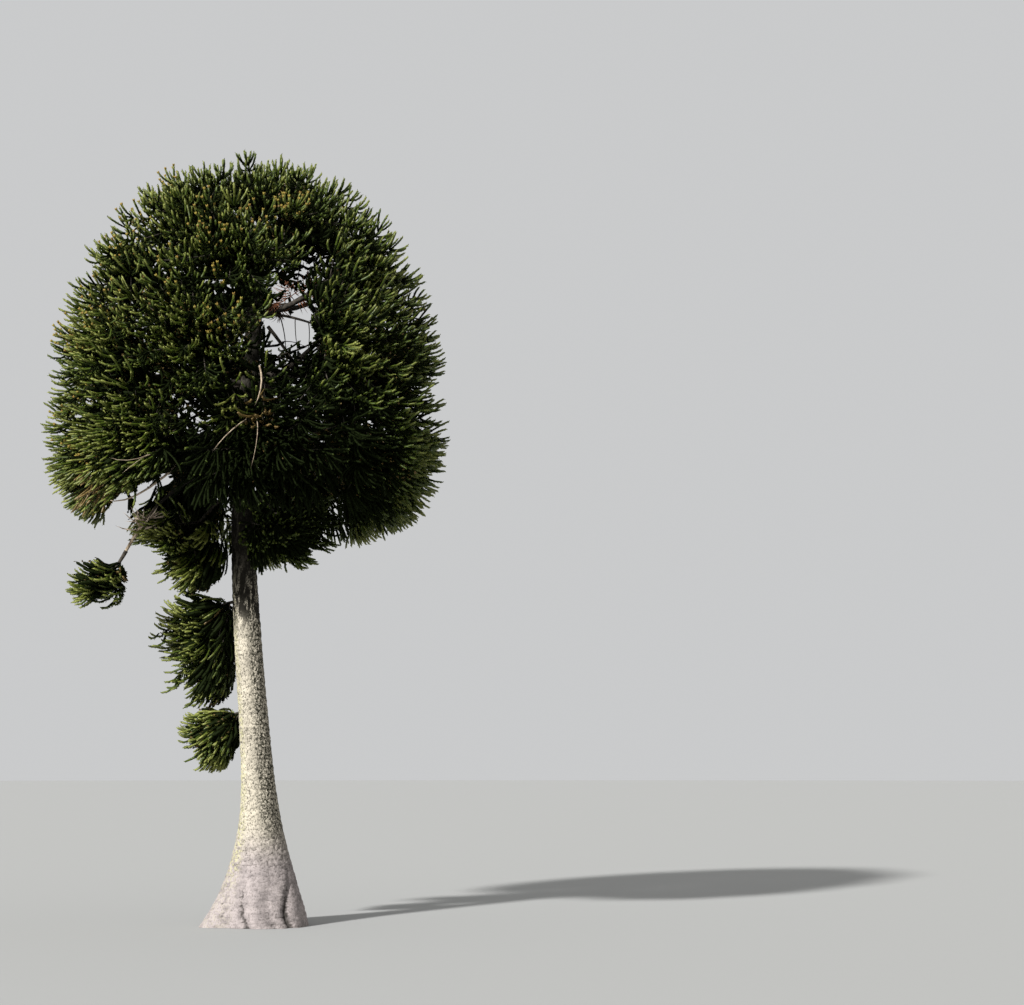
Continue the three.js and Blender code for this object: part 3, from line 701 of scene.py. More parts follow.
def leaves_on(shoots, leaf_count, length, width):
    """Folded two-faced leaves in a spiral round each shoot, closer to it towards its tip."""
    count = len(shoots)
    at = np.linspace(LEAF_FIRST, LEAF_LAST, leaf_count)
    middles = points_on(shoots, at)
    ways, across, flat = sideways_frame(shoots, at)
    start = 360 * chance(np.arange(count), 31)[:, None]
    turn = np.radians(start + np.arange(leaf_count) * GOLDEN_ANGLE)[..., None]
    round_way = across * np.cos(turn) + flat * np.sin(turn)
    core = np.interp(at, CORE_AT, (*CORE_RADII, CORE_END))[:, None]
    angle = np.radians(mix(*LEAF_ANGLES, at**1.5))[:, None]
    taper = (0.8 + 0.2 * np.sin(np.pi * np.minimum(at * 1.1, 1)))[:, None]
    point = round_way * np.sin(angle) + ways * np.cos(angle)
    face = round_way * np.cos(angle) - ways * np.sin(angle)
    side = np.cross(point, face)
    root = middles + round_way * core * LEAF_SEAT
    broad = root + point * length * taper * LEAF_WIDEST - face * width * LEAF_FOLD
    tip = root + point * length * taper
    half = side * width * taper / 2
    corners = np.stack([root, broad + half, tip, broad - half], axis=2)
    number = np.arange(count * leaf_count)[:, None] * 4
    faces = np.stack([number + [0, 1, 2], number + [0, 2, 3]], axis=1)
    return corners.reshape(-1, 3), faces.reshape(-1, 3)


def join(parts):
    """One set of points and faces from several."""
    points, faces, first = [], [], 0
    for part_points, part_faces, *_ in parts:
        points.append(part_points)
        faces.append(part_faces + first)
        first += len(part_points)
    return np.concatenate(points), np.concatenate(faces)


def limbs_along(rows, taper, sides):
    """Tubes along quadratic curves: each row has three control points and the thickness."""
    return tubes(np.array([row[:3] for row in rows]), taper, sides, [row[3] for row in rows])


def two_tone_object(name, first, second, materials):
    """One piece from two lists of tubes, the first in one material and the second in the other."""
    points, faces = join(first + second)
    split = sum(len(part[1]) for part in first)
    return mesh_object(name, points, faces, materials, np.arange(len(faces)) >= split)


def settle(piece, slot, *nodes):
    """The piece rides on the tree and stands for any nodes given. The slot is not used."""
    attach(piece, BODY)
    if nodes:
        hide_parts(*nodes)


# Materials

# Patterns of the bark: scale, detail, roughness and upright share of a noise, and its soft edges
PATCHES = (1.6, 4.0, 0.55, 0.6), (0.4, 0.7)
SCALES = (9.0, 4.0, 0.65, 0.7), (0.53, 0.66)
FOOT_PATCHES = (4.0, 5.0, 0.65), (0.4, 0.66)
LICHEN_SPOTS = (12.0, 5.0, 0.55), (0.46, 0.56)
MOSS_SPOTS = (16.0, 5.0, 0.75, 0.7), (0.485, 0.515)
SMALL_FLECKS = (23.0, 4.0, 0.7, 0.6), (0.55, 0.59)
BROAD_FLECKS = (10.0, 5.0, 0.75, 0.6), (0.58, 0.63)
# Painted shade of the crown on the trunk's top breaks up in these streaks
SHADE_STREAKS = (6.0, 4.0, 0.65, 0.25), (0.42, 0.5)
# How strongly patches and scales, lichen with its painted sunlit rim, cracks with the painted shade in the
# foot's folds, and the painted crown shade on the trunk's top show
PATCH_SHARE, LICHEN_SHARE, CRACK_AND_FOLD_SHADE_SHARE, TOP_SHADE_SHARE = 0.5, 0.6, 0.85, 0.9
CRACK_EDGES = (0.35, 1.0)
# Flecks are fainter on the foot: their share there and above it
SMALL_SHARES, BROAD_SHARES = (0.36, 0.85), (0.3, 0.7)
# Heights where the foot's colours end, and where the painted shade of the crown begins on the trunk, first
# in streaks and then over all its top
FOOT_EDGES, SHADE_STREAK_EDGES, TOP_SHADE_EDGES = (1.7, 3.6), (9.0, 10.2), (10.1, 12.0)
# Fine grain of bark and of limbs: scale, detail and roughness of a noise, and how deep its bump is
BARK_GRAIN, BARK_GRAIN_DEPTH = (40.0, 6.0, 0.7), 0.012
LIMB_GRAIN, LIMB_GRAIN_DEPTH = (45.0, 5.0, 0.7), 0.008
BUMP_STRENGTH = 0.6
LIMB_PATCHES = (9.0, 5.0, 0.65), (0.38, 0.62)


def new_material(name, colour, roughness, specular=0.5):
    material = bpy.data.materials.new(name)
    material.use_nodes = True
    shader = material.node_tree.nodes["Principled BSDF"]
    shader.inputs["Base Color"].default_value = (*colour, 1)
    shader.inputs["Roughness"].default_value = roughness
    shader.inputs["Specular IOR Level"].default_value = specular
    material.diffuse_color = (*colour, 1)
    return material


class Nodes:
    """Adds nodes to a material and joins them."""

    def __init__(self, material):
        self.tree = material.node_tree
        self.shader = self.tree.nodes["Principled BSDF"]
        self.place = self.add("ShaderNodeTexCoord", {})["Object"]

    def add(self, kind, inputs, **settings):
        """A new node's outputs, after its inputs and settings are filled."""
        node = self.tree.nodes.new(kind)
        for name, value in settings.items():
            setattr(node, name, value)
        for name, value in inputs.items():
            self.put(node.inputs[name], value)
        return node.outputs

    def put(self, socket, value):
        """Another node's output, a colour or a plain value goes into the socket."""
        if isinstance(value, bpy.types.NodeSocket):
            self.tree.links.new(value, socket)
        elif socket.type == "RGBA":
            socket.default_value = (*value, 1)
        else:
            socket.default_value = value

    def noise(self, scale, detail, roughness, upright=1.0):
        """Noise in the piece's own place. An upright share under 1 draws it out along Z."""
        place = self.add("ShaderNodeMapping", {"Vector": self.place, "Scale": (1, 1, upright)})
        inputs = {"Vector": place["Vector"], "Scale": scale, "Detail": detail, "Roughness": roughness}
        return self.add("ShaderNodeTexNoise", inputs)["Fac"]

    def pattern(self, noise, edges):
        return self.step(self.noise(*noise), *edges)

    def attribute(self, name):
        return self.add("ShaderNodeAttribute", {}, attribute_name=name)["Fac"]

    def along(self, axis):
        return self.add("ShaderNodeSeparateXYZ", {0: self.place})[axis]

    def step(self, value, low, high, least=0.0, most=1.0):
        """The least below low, the most above high, and smooth in between."""
        inputs = {"Value": value, "From Min": low, "From Max": high, "To Min": least, "To Max": most}
        return self.add("ShaderNodeMapRange", inputs, interpolation_type="SMOOTHSTEP")["Result"]

    def times(self, a, b):
        return self.add("ShaderNodeMath", {0: a, 1: b}, operation="MULTIPLY")[0]

    def mix(self, share, a, b):
        return self.add("ShaderNodeMix", {"Factor": share, 6: a, 7: b}, data_type="RGBA")[2]

    def finish(self, colour, height, distance):
        """The colour and a fine bump of this height go to the shader."""
        self.put(self.shader.inputs["Base Color"], colour)
        inputs = {"Strength": BUMP_STRENGTH, "Distance": distance, "Height": height}
        self.put(self.shader.inputs["Normal"], self.add("ShaderNodeBump", inputs)["Normal"])


def bark_material():
    """Pale scaly bark with dark flecks and a pinkish foot, lichen with a painted sunlit rim on the lit
    side, moss with painted shade on the other, and painted crown shade high up.
    """
    look = bpy.context.scene.tree_bark
    material = new_material("bark", look.pale, roughness=0.95, specular=0.2)
    n = Nodes(material)
    height = n.along("Z")
    colour = n.mix(n.times(n.pattern(*PATCHES), PATCH_SHARE), look.pale, look.grey)
    colour = n.mix(n.times(n.pattern(*SCALES), PATCH_SHARE), colour, look.grey)
    foot = n.mix(n.pattern(*FOOT_PATCHES), look.foot, look.foot_dark)
    colour = n.mix(n.step(height, *reversed(FOOT_EDGES)), colour, foot)
    # Lichen with a painted sunlit rim on the side the lamp lights
    lichen = n.times(n.attribute("lichen"), n.pattern(*LICHEN_SPOTS))
    colour = n.mix(n.times(lichen, LICHEN_SHARE), colour, look.lichen)
    # Moss with painted shade on the side away from the lamp
    moss = n.times(n.attribute("moss"), n.pattern(*MOSS_SPOTS))
    colour = n.mix(moss, colour, look.moss)
    dark = (
        n.times(n.pattern(*SMALL_FLECKS), n.step(height, *FOOT_EDGES, *SMALL_SHARES)),
        n.times(n.pattern(*BROAD_FLECKS), n.step(height, *FOOT_EDGES, *BROAD_SHARES)),
        # Dark fissures, with painted shade in the folds and wrinkles of the foot
        n.times(n.step(n.attribute("crack"), *CRACK_EDGES), CRACK_AND_FOLD_SHADE_SHARE),
        # Painted shade of the crown, in streaks and then over the trunk's top
        n.times(n.step(height, *SHADE_STREAK_EDGES), n.pattern(*SHADE_STREAKS)),
        n.times(n.step(height, *TOP_SHADE_EDGES), TOP_SHADE_SHARE),
    )
    for amount in dark:
        colour = n.mix(amount, colour, look.fleck)
    n.finish(colour, n.noise(*BARK_GRAIN), BARK_GRAIN_DEPTH)
    return material


def limb_material(name, colour, dark, shaded=False):
    """Rough weathered wood, mottled between two tones. It can turn dark towards the trunk with painted
    shade.
    """
    material = new_material(name, colour, roughness=0.9, specular=0.25)
    n = Nodes(material)
    tone = n.mix(n.pattern(*LIMB_PATCHES), colour, dark)
    if shaded:
        # Painted shade towards the trunk
        shade = n.step(n.along("X"), SHADED_FROM, SHADED_FROM + SHADED_OVER)
        tone = n.mix(shade, tone, bpy.context.scene.tree_limbs.bark_dark)
    n.finish(tone, n.noise(*LIMB_GRAIN), LIMB_GRAIN_DEPTH)
    return material


@functools.cache
def wood_material():
    look = bpy.context.scene.tree_limbs
    return limb_material("limb_bark", look.bark, look.bark_dark)


LEAF_TONES = ("deep", "green", "olive", "fresh", "golden", "brown")
GOLDEN_TONE, BROWN_TONE = 4, 5


@functools.cache
def leaf_materials():
    look = bpy.context.scene.tree_foliage
    materials = [new_material("leaf_deep", look.deep, roughness=0.75, specular=0.05)]
    for tone in LEAF_TONES[1:]:
        colour = getattr(look, tone)
        materials.append(new_material("leaf_" + tone, colour, roughness=0.45, specular=0.32))
    return materials


# Pieces

# Scales of bark sit in rows that are set off by half a scale, shaken by this share, with cracks this wide
PLATE_SET_OFF, PLATE_LEAST, PLATE_SHAKE, CRACK_WIDTH = 0.5, 0.15, 0.7, 0.2


def bark_plates(azimuth, z, around, high):
    """Cracks between scales of bark, from a lattice of shaken points: 1 in a crack, 0 on a scale."""
    u, v = azimuth / 360 * around, z / high
    row, column = np.floor(v), np.floor(u)
    near = np.full((2, *u.shape), 9.0)
    for i in (-1, 0, 1):
        for j in (-1, 0, 1):
            r, c = row + i, column + j
            shaken = np.mod(c, around)
            x = c + PLATE_LEAST + PLATE_SHAKE * chance(shaken, r) + PLATE_SET_OFF * np.mod(r, 2)
            y = r + PLATE_LEAST + PLATE_SHAKE * chance(shaken + 40, r + 7)
            gap = np.hypot(u + 0.25 - x, v - y)
            near = np.sort(np.stack([*near, gap]), axis=0)[:2]
    return np.clip(1 - (near[1] - near[0]) / CRACK_WIDTH, 0, 1)


def clear_selection():
    if bpy.context.object is not None and bpy.context.object.mode != "OBJECT":
        bpy.ops.object.mode_set(mode="OBJECT")
    bpy.ops.object.select_all(action="DESELECT")


# Azimuth and depth of the folds between the toes
FOLDS = ((318, 1.0), (292, 0.4), (254, 0.75), (222, 0.35), (178, 0.6), (20, 0.8), (74, 0.6), (126, 0.8))
# How wide a fold is in degrees and how high it runs, and the same of the valley round it
FOLD_SPREAD, VALLEY_SPREAD = (4.5, 1.5), (13, 1.1)
# Folds sway by these degrees as they go up
FOLD_SWAY, FOLD_WAVE = 9, 2.3
# How deep the relief goes into the trunk or stands out of it
FOLD_DEPTH, VALLEY_DEPTH, WRINKLE_DEPTH, RING_DEPTH, SWELL_DEPTH = 0.13, 0.16, 0.007, 0.006, 0.014
RING_HEIGHT, LEAST_RADIUS = 0.31, 0.03
# The foot's relief ends at this height, grows over this far down, and has cracks shallower by this share
FOOT_TOP, FOOT_FADE, FOOT_SMOOTHER = 2.2, 1.3, 0.45
# This share of the trunk's rings lies below this height
TRUNK_SIDES, TRUNK_RINGS, FINE_SHARE, FINE_RINGS_TO = 112, 590, 0.84, 13.2
# Azimuths of the side with lichen and a painted sunlit rim and of the side with moss and painted shade, and
# the height under which the moss and shade thin out
LICHEN_AND_SUNLIGHT_SIDE, MOSS_AND_SHADE_SIDE, MOSS_THINS, MOSS_FADE = 205, -18, 3.4, 1.1
RELIEF_SCALE, RELIEF_DEPTH, SMOOTH_ANGLE = 0.16, 0.035, 50
# What lies lower than this is the rim of the flat cut
GROUND_RIM = 0.015


def trunk_heights():
    """Rings lie close together where the bark shows, and wider apart inside the crown."""
    share = np.linspace(0, 1, TRUNK_RINGS)
    return np.interp(share, [0, FINE_SHARE, 1], [0, FINE_RINGS_TO, TRUNK_HEIGHT])


def folds(azimuth, z, width, height):
    """Folds that run up between the toes: 1 where they are deepest."""
    total = np.zeros_like(z)
    for middle, depth in FOLDS:
        away = turned(azimuth - middle - FOLD_SWAY * np.sin(z * FOLD_WAVE + middle))
        total += depth * np.exp(-((away / width) ** 2)) * np.exp(-((z / height) ** 2))
    return np.minimum(total, 1)


def wrinkles(angle, z):
    """Broad and fine wrinkles that run round the foot."""
    broad = np.sin(z * 34 + 2.2 * np.sin(angle * 3) + 1.4 * np.sin(angle * 7 + 1))
    fine = np.sin(z * 61 + 3 * np.sin(angle * 4 + 2))
    return broad * 0.5 + 0.5 * fine


def trunk_skin():
    """The points of the trunk ring by ring, with the relief of the bark, and the marks for its colours."""
    look = bpy.context.scene.tree_bark
    z, azimuth = np.meshgrid(trunk_heights(), np.linspace(0, 360, TRUNK_SIDES + 1)[:-1], indexing="ij")
    angle = np.radians(azimuth)
    foot = smooth((FOOT_TOP - z) / FOOT_FADE)
    around = round(2 * math.pi * TRUNK_RADIUS / look.plate_width)
    crack = bark_plates(azimuth, z, around, look.plate_height) * (1 - FOOT_SMOOTHER * foot)
    wrinkle = wrinkles(angle, z)
    fold, valley = folds(azimuth, z, *FOLD_SPREAD), folds(azimuth, z, *VALLEY_SPREAD)
    rings = np.sin(z * 2 * math.pi / RING_HEIGHT + np.sin(angle * 2)) * (1 - foot)
    swell = np.sin(angle * 3 + z * 0.9) * np.sin(z * 0.7 + 1) + 0.6 * np.sin(angle * 5 - z * 1.7)
    thin = np.minimum(1, trunk_radius(z) / TRUNK_RADIUS)
    relief = -look.crack_depth * crack + WRINKLE_DEPTH * foot * wrinkle
    relief = relief + RING_DEPTH * rings + SWELL_DEPTH * swell
    inward = (FOLD_DEPTH * fold + VALLEY_DEPTH * valley) * foot
    radius = trunk_radius(z) + toe_reach(azimuth, z)
    radius = np.maximum(radius + relief * thin - inward, LEAST_RADIUS)
    points = trunk_axis(z)
    points[..., 0] += radius * np.cos(angle)
    points[..., 1] += radius * np.sin(angle)
    lit = np.clip(np.cos(angle - math.radians(LICHEN_AND_SUNLIGHT_SIDE)), 0, 1)
    shaded = np.clip(np.cos(angle - math.radians(MOSS_AND_SHADE_SIDE)), 0, 1)
    marks = {
        # Cracks are dark fissures; in the foot's folds and wrinkles the darkening is painted shade
        "crack": np.clip(crack + 1.1 * fold * foot + 0.12 * foot * (wrinkle < -0.55), 0, 1),
        # Lichen with a painted sunlit rim
        "lichen": smooth((lit - 0.8) / 0.2) * (1 - 0.8 * foot),
        # Moss with painted shade
        "moss": smooth((shaded - 0.2) / 0.5) * (1 - 0.75 * smooth((MOSS_THINS - z) / MOSS_FADE)),
    }
    return points, marks


def roughen(piece, scale, strength):
    """Uneven relief over the whole surface, applied to the mesh."""
    bumps = bpy.data.textures.new(piece.name, "CLOUDS")
    bumps.noise_scale = scale
    bumps.noise_depth = 3
    rough = piece.modifiers.new("Relief", "DISPLACE")
    rough.texture = bumps
    rough.texture_coords = "LOCAL"
    rough.strength = strength
    rough.mid_level = 0.5
    bpy.ops.object.modifier_apply(modifier=rough.name)


def flatten_foot(piece):
    """The foot's rim goes back to the flat cut at ground level."""
    place = np.empty(len(piece.data.vertices) * 3, np.float32)
    piece.data.vertices.foreach_get("co", place)
    place[2::3] = np.where(place[2::3] < GROUND_RIM, 0, place[2::3])
    piece.data.vertices.foreach_set("co", place)
    piece.data.update()


def build_trunk():
    points, marks = trunk_skin()
    bpy.ops.mesh.primitive_grid_add(x_subdivisions=TRUNK_SIDES, y_subdivisions=TRUNK_RINGS - 1, size=1)
    piece = bpy.context.object
    piece.name = piece.data.name = "trunk_bark"
    place = np.empty(len(piece.data.vertices) * 3, np.float32)
    piece.data.vertices.foreach_get("co", place)
    place = place.reshape(-1, 3)
    column = np.rint((place[:, 0] + 0.5) * TRUNK_SIDES).astype(int) % TRUNK_SIDES
    ring = np.rint((place[:, 1] + 0.5) * (TRUNK_RINGS - 1)).astype(int)
    piece.data.vertices.foreach_set("co", points[ring, column].astype(np.float32).ravel())
    for name, values in marks.items():
        mark = piece.data.attributes.new(name, "FLOAT", "POINT")
        mark.data.foreach_set("value", values[ring, column].astype(np.float32))
    bpy.ops.object.mode_set(mode="EDIT")
    bpy.ops.mesh.select_all(action="SELECT")
    bpy.ops.mesh.remove_doubles(threshold=1e-4)
    bpy.ops.mesh.fill_holes(sides=0)
    bpy.ops.mesh.select_all(action="SELECT")
    bpy.ops.mesh.normals_make_consistent(inside=False)
    bpy.ops.object.mode_set(mode="OBJECT")
    roughen(piece, RELIEF_SCALE, RELIEF_DEPTH)
    flatten_foot(piece)
    bpy.ops.object.shade_smooth_by_angle(angle=math.radians(SMOOTH_ANGLE))
    piece.data.materials.append(bark_material())
    return piece


LIMB_STEPS, LIMB_RELIEF_SCALE, LIMB_RELIEF_DEPTH = 16, 0.22, 0.05


def build_limbs(name, boughs, material):
    """Limbs as one curve object with a round section, made a mesh and roughened."""
    bpy.ops.curve.primitive_bezier_curve_add(location=(0, 0, 0))
    piece = bpy.context.object
    piece.name = name
    line = piece.data
    line.splines.clear()
    line.dimensions = "3D"
    line.bevel_depth = 1
    line.bevel_resolution = 3
    line.use_fill_caps = True
    share = np.linspace(0, 1, LIMB_STEPS)
    for bough in boughs:
        spline = line.splines.new("POLY")
        spline.points.add(LIMB_STEPS - 1)
        for point, place, t in zip(spline.points, points_on(bough.curve[None], share)[0], share):
            point.co = (*place, 1)
            point.radius = mix(BOUGH_ROOT, BOUGH_TIP, t) * bough.size
    bpy.ops.object.convert(target="MESH")
    piece = bpy.context.object
    roughen(piece, LIMB_RELIEF_SCALE, LIMB_RELIEF_DEPTH)
    bpy.ops.object.shade_smooth()
    piece.data.materials.clear()
    piece.data.materials.append(material)
    return piece


def in_group(name, group):
    return name.split("_", 1)[1].startswith(group)


# Leaves are joined in these groups of masses
LEAF_GROUPS = {
    "low_left": ("low_1", "low_2", "low_7"),
    "low_front": ("low_3", "low_4"),
    "low_back": ("low_5", "low_6"),
    "middle_left": ("middle_1", "middle_2", "middle_7"),
    "middle_right": ("middle_3", "middle_4", "middle_5", "middle_6"),
    "upper": ("upper",),
    "top_left": ("top_1", "top_4", "tip"),
    "top_right": ("top_2", "top_3"),
    "skirt": ("skirt",),
    "tufts": ("hanging", "trunk"),
}


def masses_of(members):
    return [
        grown
        for grown in growth().values()
        if not grown.mass.bare and any(in_group(grown.mass.name, member) for member in members)
    ]


def build_groups(prefix, build, slot):
    """One piece for each group of masses, and it stands for their nodes."""
    for name, members in LEAF_GROUPS.items():
        groups = masses_of(members)
        settle(build(prefix + name, groups), slot, *(grown.mass.name for grown in groups))


# Where old shoots have turned brown: middle, radius, share
BROWN_PLACES = (
    ((-5.2, -2.2, 13.6), 1.1, 0.6),
    ((0.4, -5.7, 15.5), 0.6, 0.6),
    ((-1.6, 0.5, 9.9), 0.6, 0.35),
    ((-4.6, -1.4, 11.3), 0.6, 0.6),
)
# Where shoots catch the light in front of the dark hollow: middle, radius, how many tones lighter
LIT_PLACES = (((-0.5, -5.8, 15.5), 0.75, 2.4),)
# Tones go from 0, deep green, to 3, fresh green: the least, and what chance adds by spray and by shoot
TONE_LEAST, TONE_BY_SPRAY, TONE_BY_SHOOT = 0.45, 1.7, 0.8
# Painted light: shoots are lighter on the left and at the top, where the lamp falls: from where on, by how
# many tones, and over what distance
LEFT_FROM, LEFT_LIGHT_TONE, TOP_FROM, TOP_LIGHT_TONE, LIT_FADE = -2, 0.4, 19, 0.25, 4
# Painted shade and light along a shoot: the tone climbs this much from root to tip, and is its own at this
# share of the length
TONE_CLIMB, TONE_EVEN = 2.8, 0.66
# Share of a cone-bearing spray's shoots that are golden, and the share of their length where gold begins
GOLDEN_SHARE, GOLDEN_FROM = 0.85, 0.76
# Painted shade under the front of the dome darkens the leaves there: middle and reach, how sharp the edge
# is, and by how many tones
SHADE_HOLLOW, HOLLOW_EDGE, HOLLOW_SHADE_TONE = np.array([[0.9, -3.4, 13.6], [5.1, 4.9, 5.0]]), 2.2, 2.6
# Painted shade also darkens the leaves near the trunk in the masses under the dome
TRUNK_SHADE, SHADE_TONE, SHADE_FADE = 1.35, 2.4, 0.6
# Those masses are lighter than the dome, the tufts and the broom most on top with painted light, and darker
# in the hollow with painted shade
OVAL_TONE, UPPER_LIGHT_TONE, OVAL_HOLLOW_SHADE_TONE = 0.35, 1.2, 1.6
# Cones become more common above this height and left of this X, and over what distances
CONES_ABOVE, CONES_RISE, CONES_LEFT, CONES_FADE = 13, 8, 1.5, 6
# Their share is multiplied by this and by so much more there, and there are none deep in the hollow
CONES_LEAST, CONES_MORE, CONES_HOLLOW = 0.35, 1.4, 0.2


def hollow_shade_share(tips):
    """1 deep in the hollow under the front of the dome, where shade is painted on the leaves, 0 outside it.
    """
    return smooth(HOLLOW_EDGE * (1 - np.linalg.norm((tips - SHADE_HOLLOW[0]) / SHADE_HOLLOW[1], axis=-1)))


def spray_seed(grown):
    return 50 * grown.mass.number + grown.spray


def bears_cones(grown):
    """Whether each shoot's spray bears pollen cones: more do on the lit upper side of the crown."""
    cones = bpy.context.scene.tree_cones
    tips = grown.shoots[:, 2]
    lit = smooth((tips[:, 2] - CONES_ABOVE) / CONES_RISE) * smooth((CONES_LEFT - tips[:, 0]) / CONES_FADE)
    bearing = chance(spray_seed(grown), 17) < cones.share * (CONES_LEAST + CONES_MORE * lit)
    return bearing & (grown.mass.reach is None) & (hollow_shade_share(tips) < CONES_HOLLOW)


def near(shoots, middle, radius):
    return np.linalg.norm(shoots[:, 1] - middle, axis=-1) < radius


def shoot_tones(grown):
    """The tone of every shoot, by spray and a little by shoot, with painted light and shade by place, and
    which are golden-tipped or brown.
    """
    mass, shoots = grown.mass, grown.shoots
    tips, number = shoots[:, 2], np.arange(len(shoots))
    seed = spray_seed(grown)
    tone = TONE_LEAST + TONE_BY_SPRAY * chance(seed, 13)
    tone += TONE_BY_SHOOT * (chance(seed * 31 + number, 19) - 0.5)
    # Painted light on the left and at the top
    left = smooth((LEFT_FROM - tips[:, 0]) / LIT_FADE)
    top = smooth((tips[:, 2] - TOP_FROM) / LIT_FADE)
    tone += LEFT_LIGHT_TONE * left + TOP_LIGHT_TONE * top
    # Painted shade in the hollow and beside the trunk, and painted light on top of the tufts and the broom
    if mass.reach is None:
        tone -= HOLLOW_SHADE_TONE * hollow_shade_share(tips)
    else:
        off = np.linalg.norm(tips - trunk_axis(tips[:, 2]), axis=-1)
        under = smooth((mass.middle[2] + 0.9 - tips[:, 2]) / 0.8)
        tone += OVAL_TONE - SHADE_TONE * smooth((TRUNK_SHADE - off) / SHADE_FADE) * under
        tone -= OVAL_HOLLOW_SHADE_TONE * hollow_shade_share(tips) * smooth((tips[:, 0] + 2) / 2)
        if mass.droop is not None:
            tone += UPPER_LIGHT_TONE * smooth((tips[:, 2] - mass.middle[2]) / mass.reach[2])
    for middle, radius, lighter in LIT_PLACES:
        tone += lighter * near(shoots, middle, radius)
    golden = bears_cones(grown) & (chance(seed + 3.5 * number, 23) < GOLDEN_SHARE)
    brown = np.zeros(len(shoots), bool)
    for middle, radius, share in BROWN_PLACES:
        brown |= near(shoots, middle, radius) & (chance(number * 1.7, 29) < share)
    return tone, golden, brown


def tones_along(tone, golden, brown, at):
    """Tones at the shares at of each shoot, from dark at its root to light at its tip: painted shade by the
    twig, and painted light with the fresh green of young leaves at the tip.
    """
    at = np.asarray(at)
    tones = np.clip(np.rint(tone[:, None] + TONE_CLIMB * (at - TONE_EVEN)), 0, 3)
    tones[golden[:, None] & (at > GOLDEN_FROM)] = GOLDEN_TONE
    tones[brown] = BROWN_TONE
    return tones


def leaf_counts(shoots):
    """Leaves on each shoot, in steps, after its length."""
    lengths = np.linalg.norm(np.diff(shoots, axis=1), axis=-1).sum(axis=-1)
    return np.maximum(np.rint(lengths / LEAF_PITCH / LEAF_STEP).astype(int) * LEAF_STEP, LEAF_LEAST)


def build_leaves(name, groups):
    """The shoots of a group of masses, each with a green core and a spiral of leaves."""
    look = bpy.context.scene.tree_foliage
    parts, tones, rounded = [], [], []

    def add(points, faces, tone, is_core):
        parts.append((points, faces))
        tones.append(tone.ravel())
        rounded.append(np.full(len(faces), is_core))

    for grown in groups:
        marks = shoot_tones(grown)
        points, faces, rings = tubes(grown.shoots, CORE_RADII, CORE_SIDES, at=CORE_AT)
        add(points, faces, tones_along(*marks, np.take(CORE_AT, rings)), True)
        counts = leaf_counts(grown.shoots)
        for count in np.unique(counts):
            chosen = counts == count
            leaves = leaves_on(grown.shoots[chosen], count, look.leaf_length, look.leaf_width)
            chosen_marks = (mark[chosen] for mark in marks)
            tone = tones_along(*chosen_marks, np.linspace(0.1, 1, count))
            add(*leaves, np.repeat(tone.ravel(), 2), False)
        # Old shoots take deep green, painted shade inside the crown; some are brown
        points, faces, _ = tubes(grown.old_shoots, OLD_RADII, CORE_SIDES, at=OLD_AT)
        add(points, faces, np.zeros(len(faces)), True)
        size = OLD_LEAF_SIZE * look.leaf_length, OLD_LEAF_SIZE * look.leaf_width
        leaves = leaves_on(grown.old_shoots, OLD_LEAF_COUNT, *size)
        dry = chance(50 * grown.mass.number + grown.old_spray, 37) < OLD_BROWN_SHARE
        add(*leaves, np.repeat(np.where(dry, BROWN_TONE, 0), 2 * OLD_LEAF_COUNT), False)
    points, faces = join(parts)
    piece = mesh_object(name, points, faces, leaf_materials(), np.concatenate(tones))
    piece.data.polygons.foreach_set("use_smooth", np.concatenate(rounded))
    return piece


def build_twigs(name, groups):
    """The stem and the twigs of each mass."""
    parts = []
    for grown in groups:
        parts.append(tubes(grown.stem[None], STEM_RADII, STEM_SIDES, grown.mass.size))
        parts.append(tubes(grown.twigs, TWIG_RADII, TWIG_SIDES, grown.mass.size))
    piece = mesh_object(name, *join(parts), [wood_material()])
    piece.data.polygons.foreach_set("use_smooth", np.ones(len(piece.data.polygons), bool))
    return piece


CONE_SIDES, CONE_RADII, CONES_PER_SHOOT = 5, (0.5, 1.0, 0.85), 3
# Cones leave a shoot at this share of its length, lean out this much, turn up this much, and some are spent
CONE_AT, CONE_LEAN, CONE_UPWARD, SPENT_SHARE = 0.9, 0.45, 0.3, 0.45


def build_cones(name, groups):
    """Pollen cones: stubby spindles that stand at the ends of the shoots."""
    cones = bpy.context.scene.tree_cones
    curves, tints = [], []
    for grown in groups:
        bearing = bears_cones(grown)
        shoots = grown.shoots[bearing]
        seed = spray_seed(grown)[bearing] * 7.3 + np.arange(len(shoots))
        ways, across, flat = sideways_frame(shoots, [LEAF_LAST])
        for k in range(CONES_PER_SHOOT):
            turn = (2 * np.pi * (k / CONES_PER_SHOOT + chance(seed, 41)))[:, None]
            side = across[:, 0] * np.cos(turn) + flat[:, 0] * np.sin(turn)
            root = points_on(shoots, [CONE_AT])[:, 0]
            way = unit(ways[:, 0] + CONE_LEAN * side)
            curves.append(sweep(root, way, unit(way + CONE_UPWARD * UP), np.full(len(root), cones.length)))
            tints.append(chance(seed, 43 + k) < SPENT_SHARE)
    curves = np.concatenate(curves)
    points, faces, rings = tubes(curves, np.array(CONE_RADII) * cones.width / 2, CONE_SIDES)
    gold = new_material("cone_gold", cones.gold, roughness=0.7)
    orange = new_material("cone_orange", cones.orange, roughness=0.75)
    tints = np.repeat(np.concatenate(tints), len(rings))
    return mesh_object(name, points, faces, [gold, orange], tints)


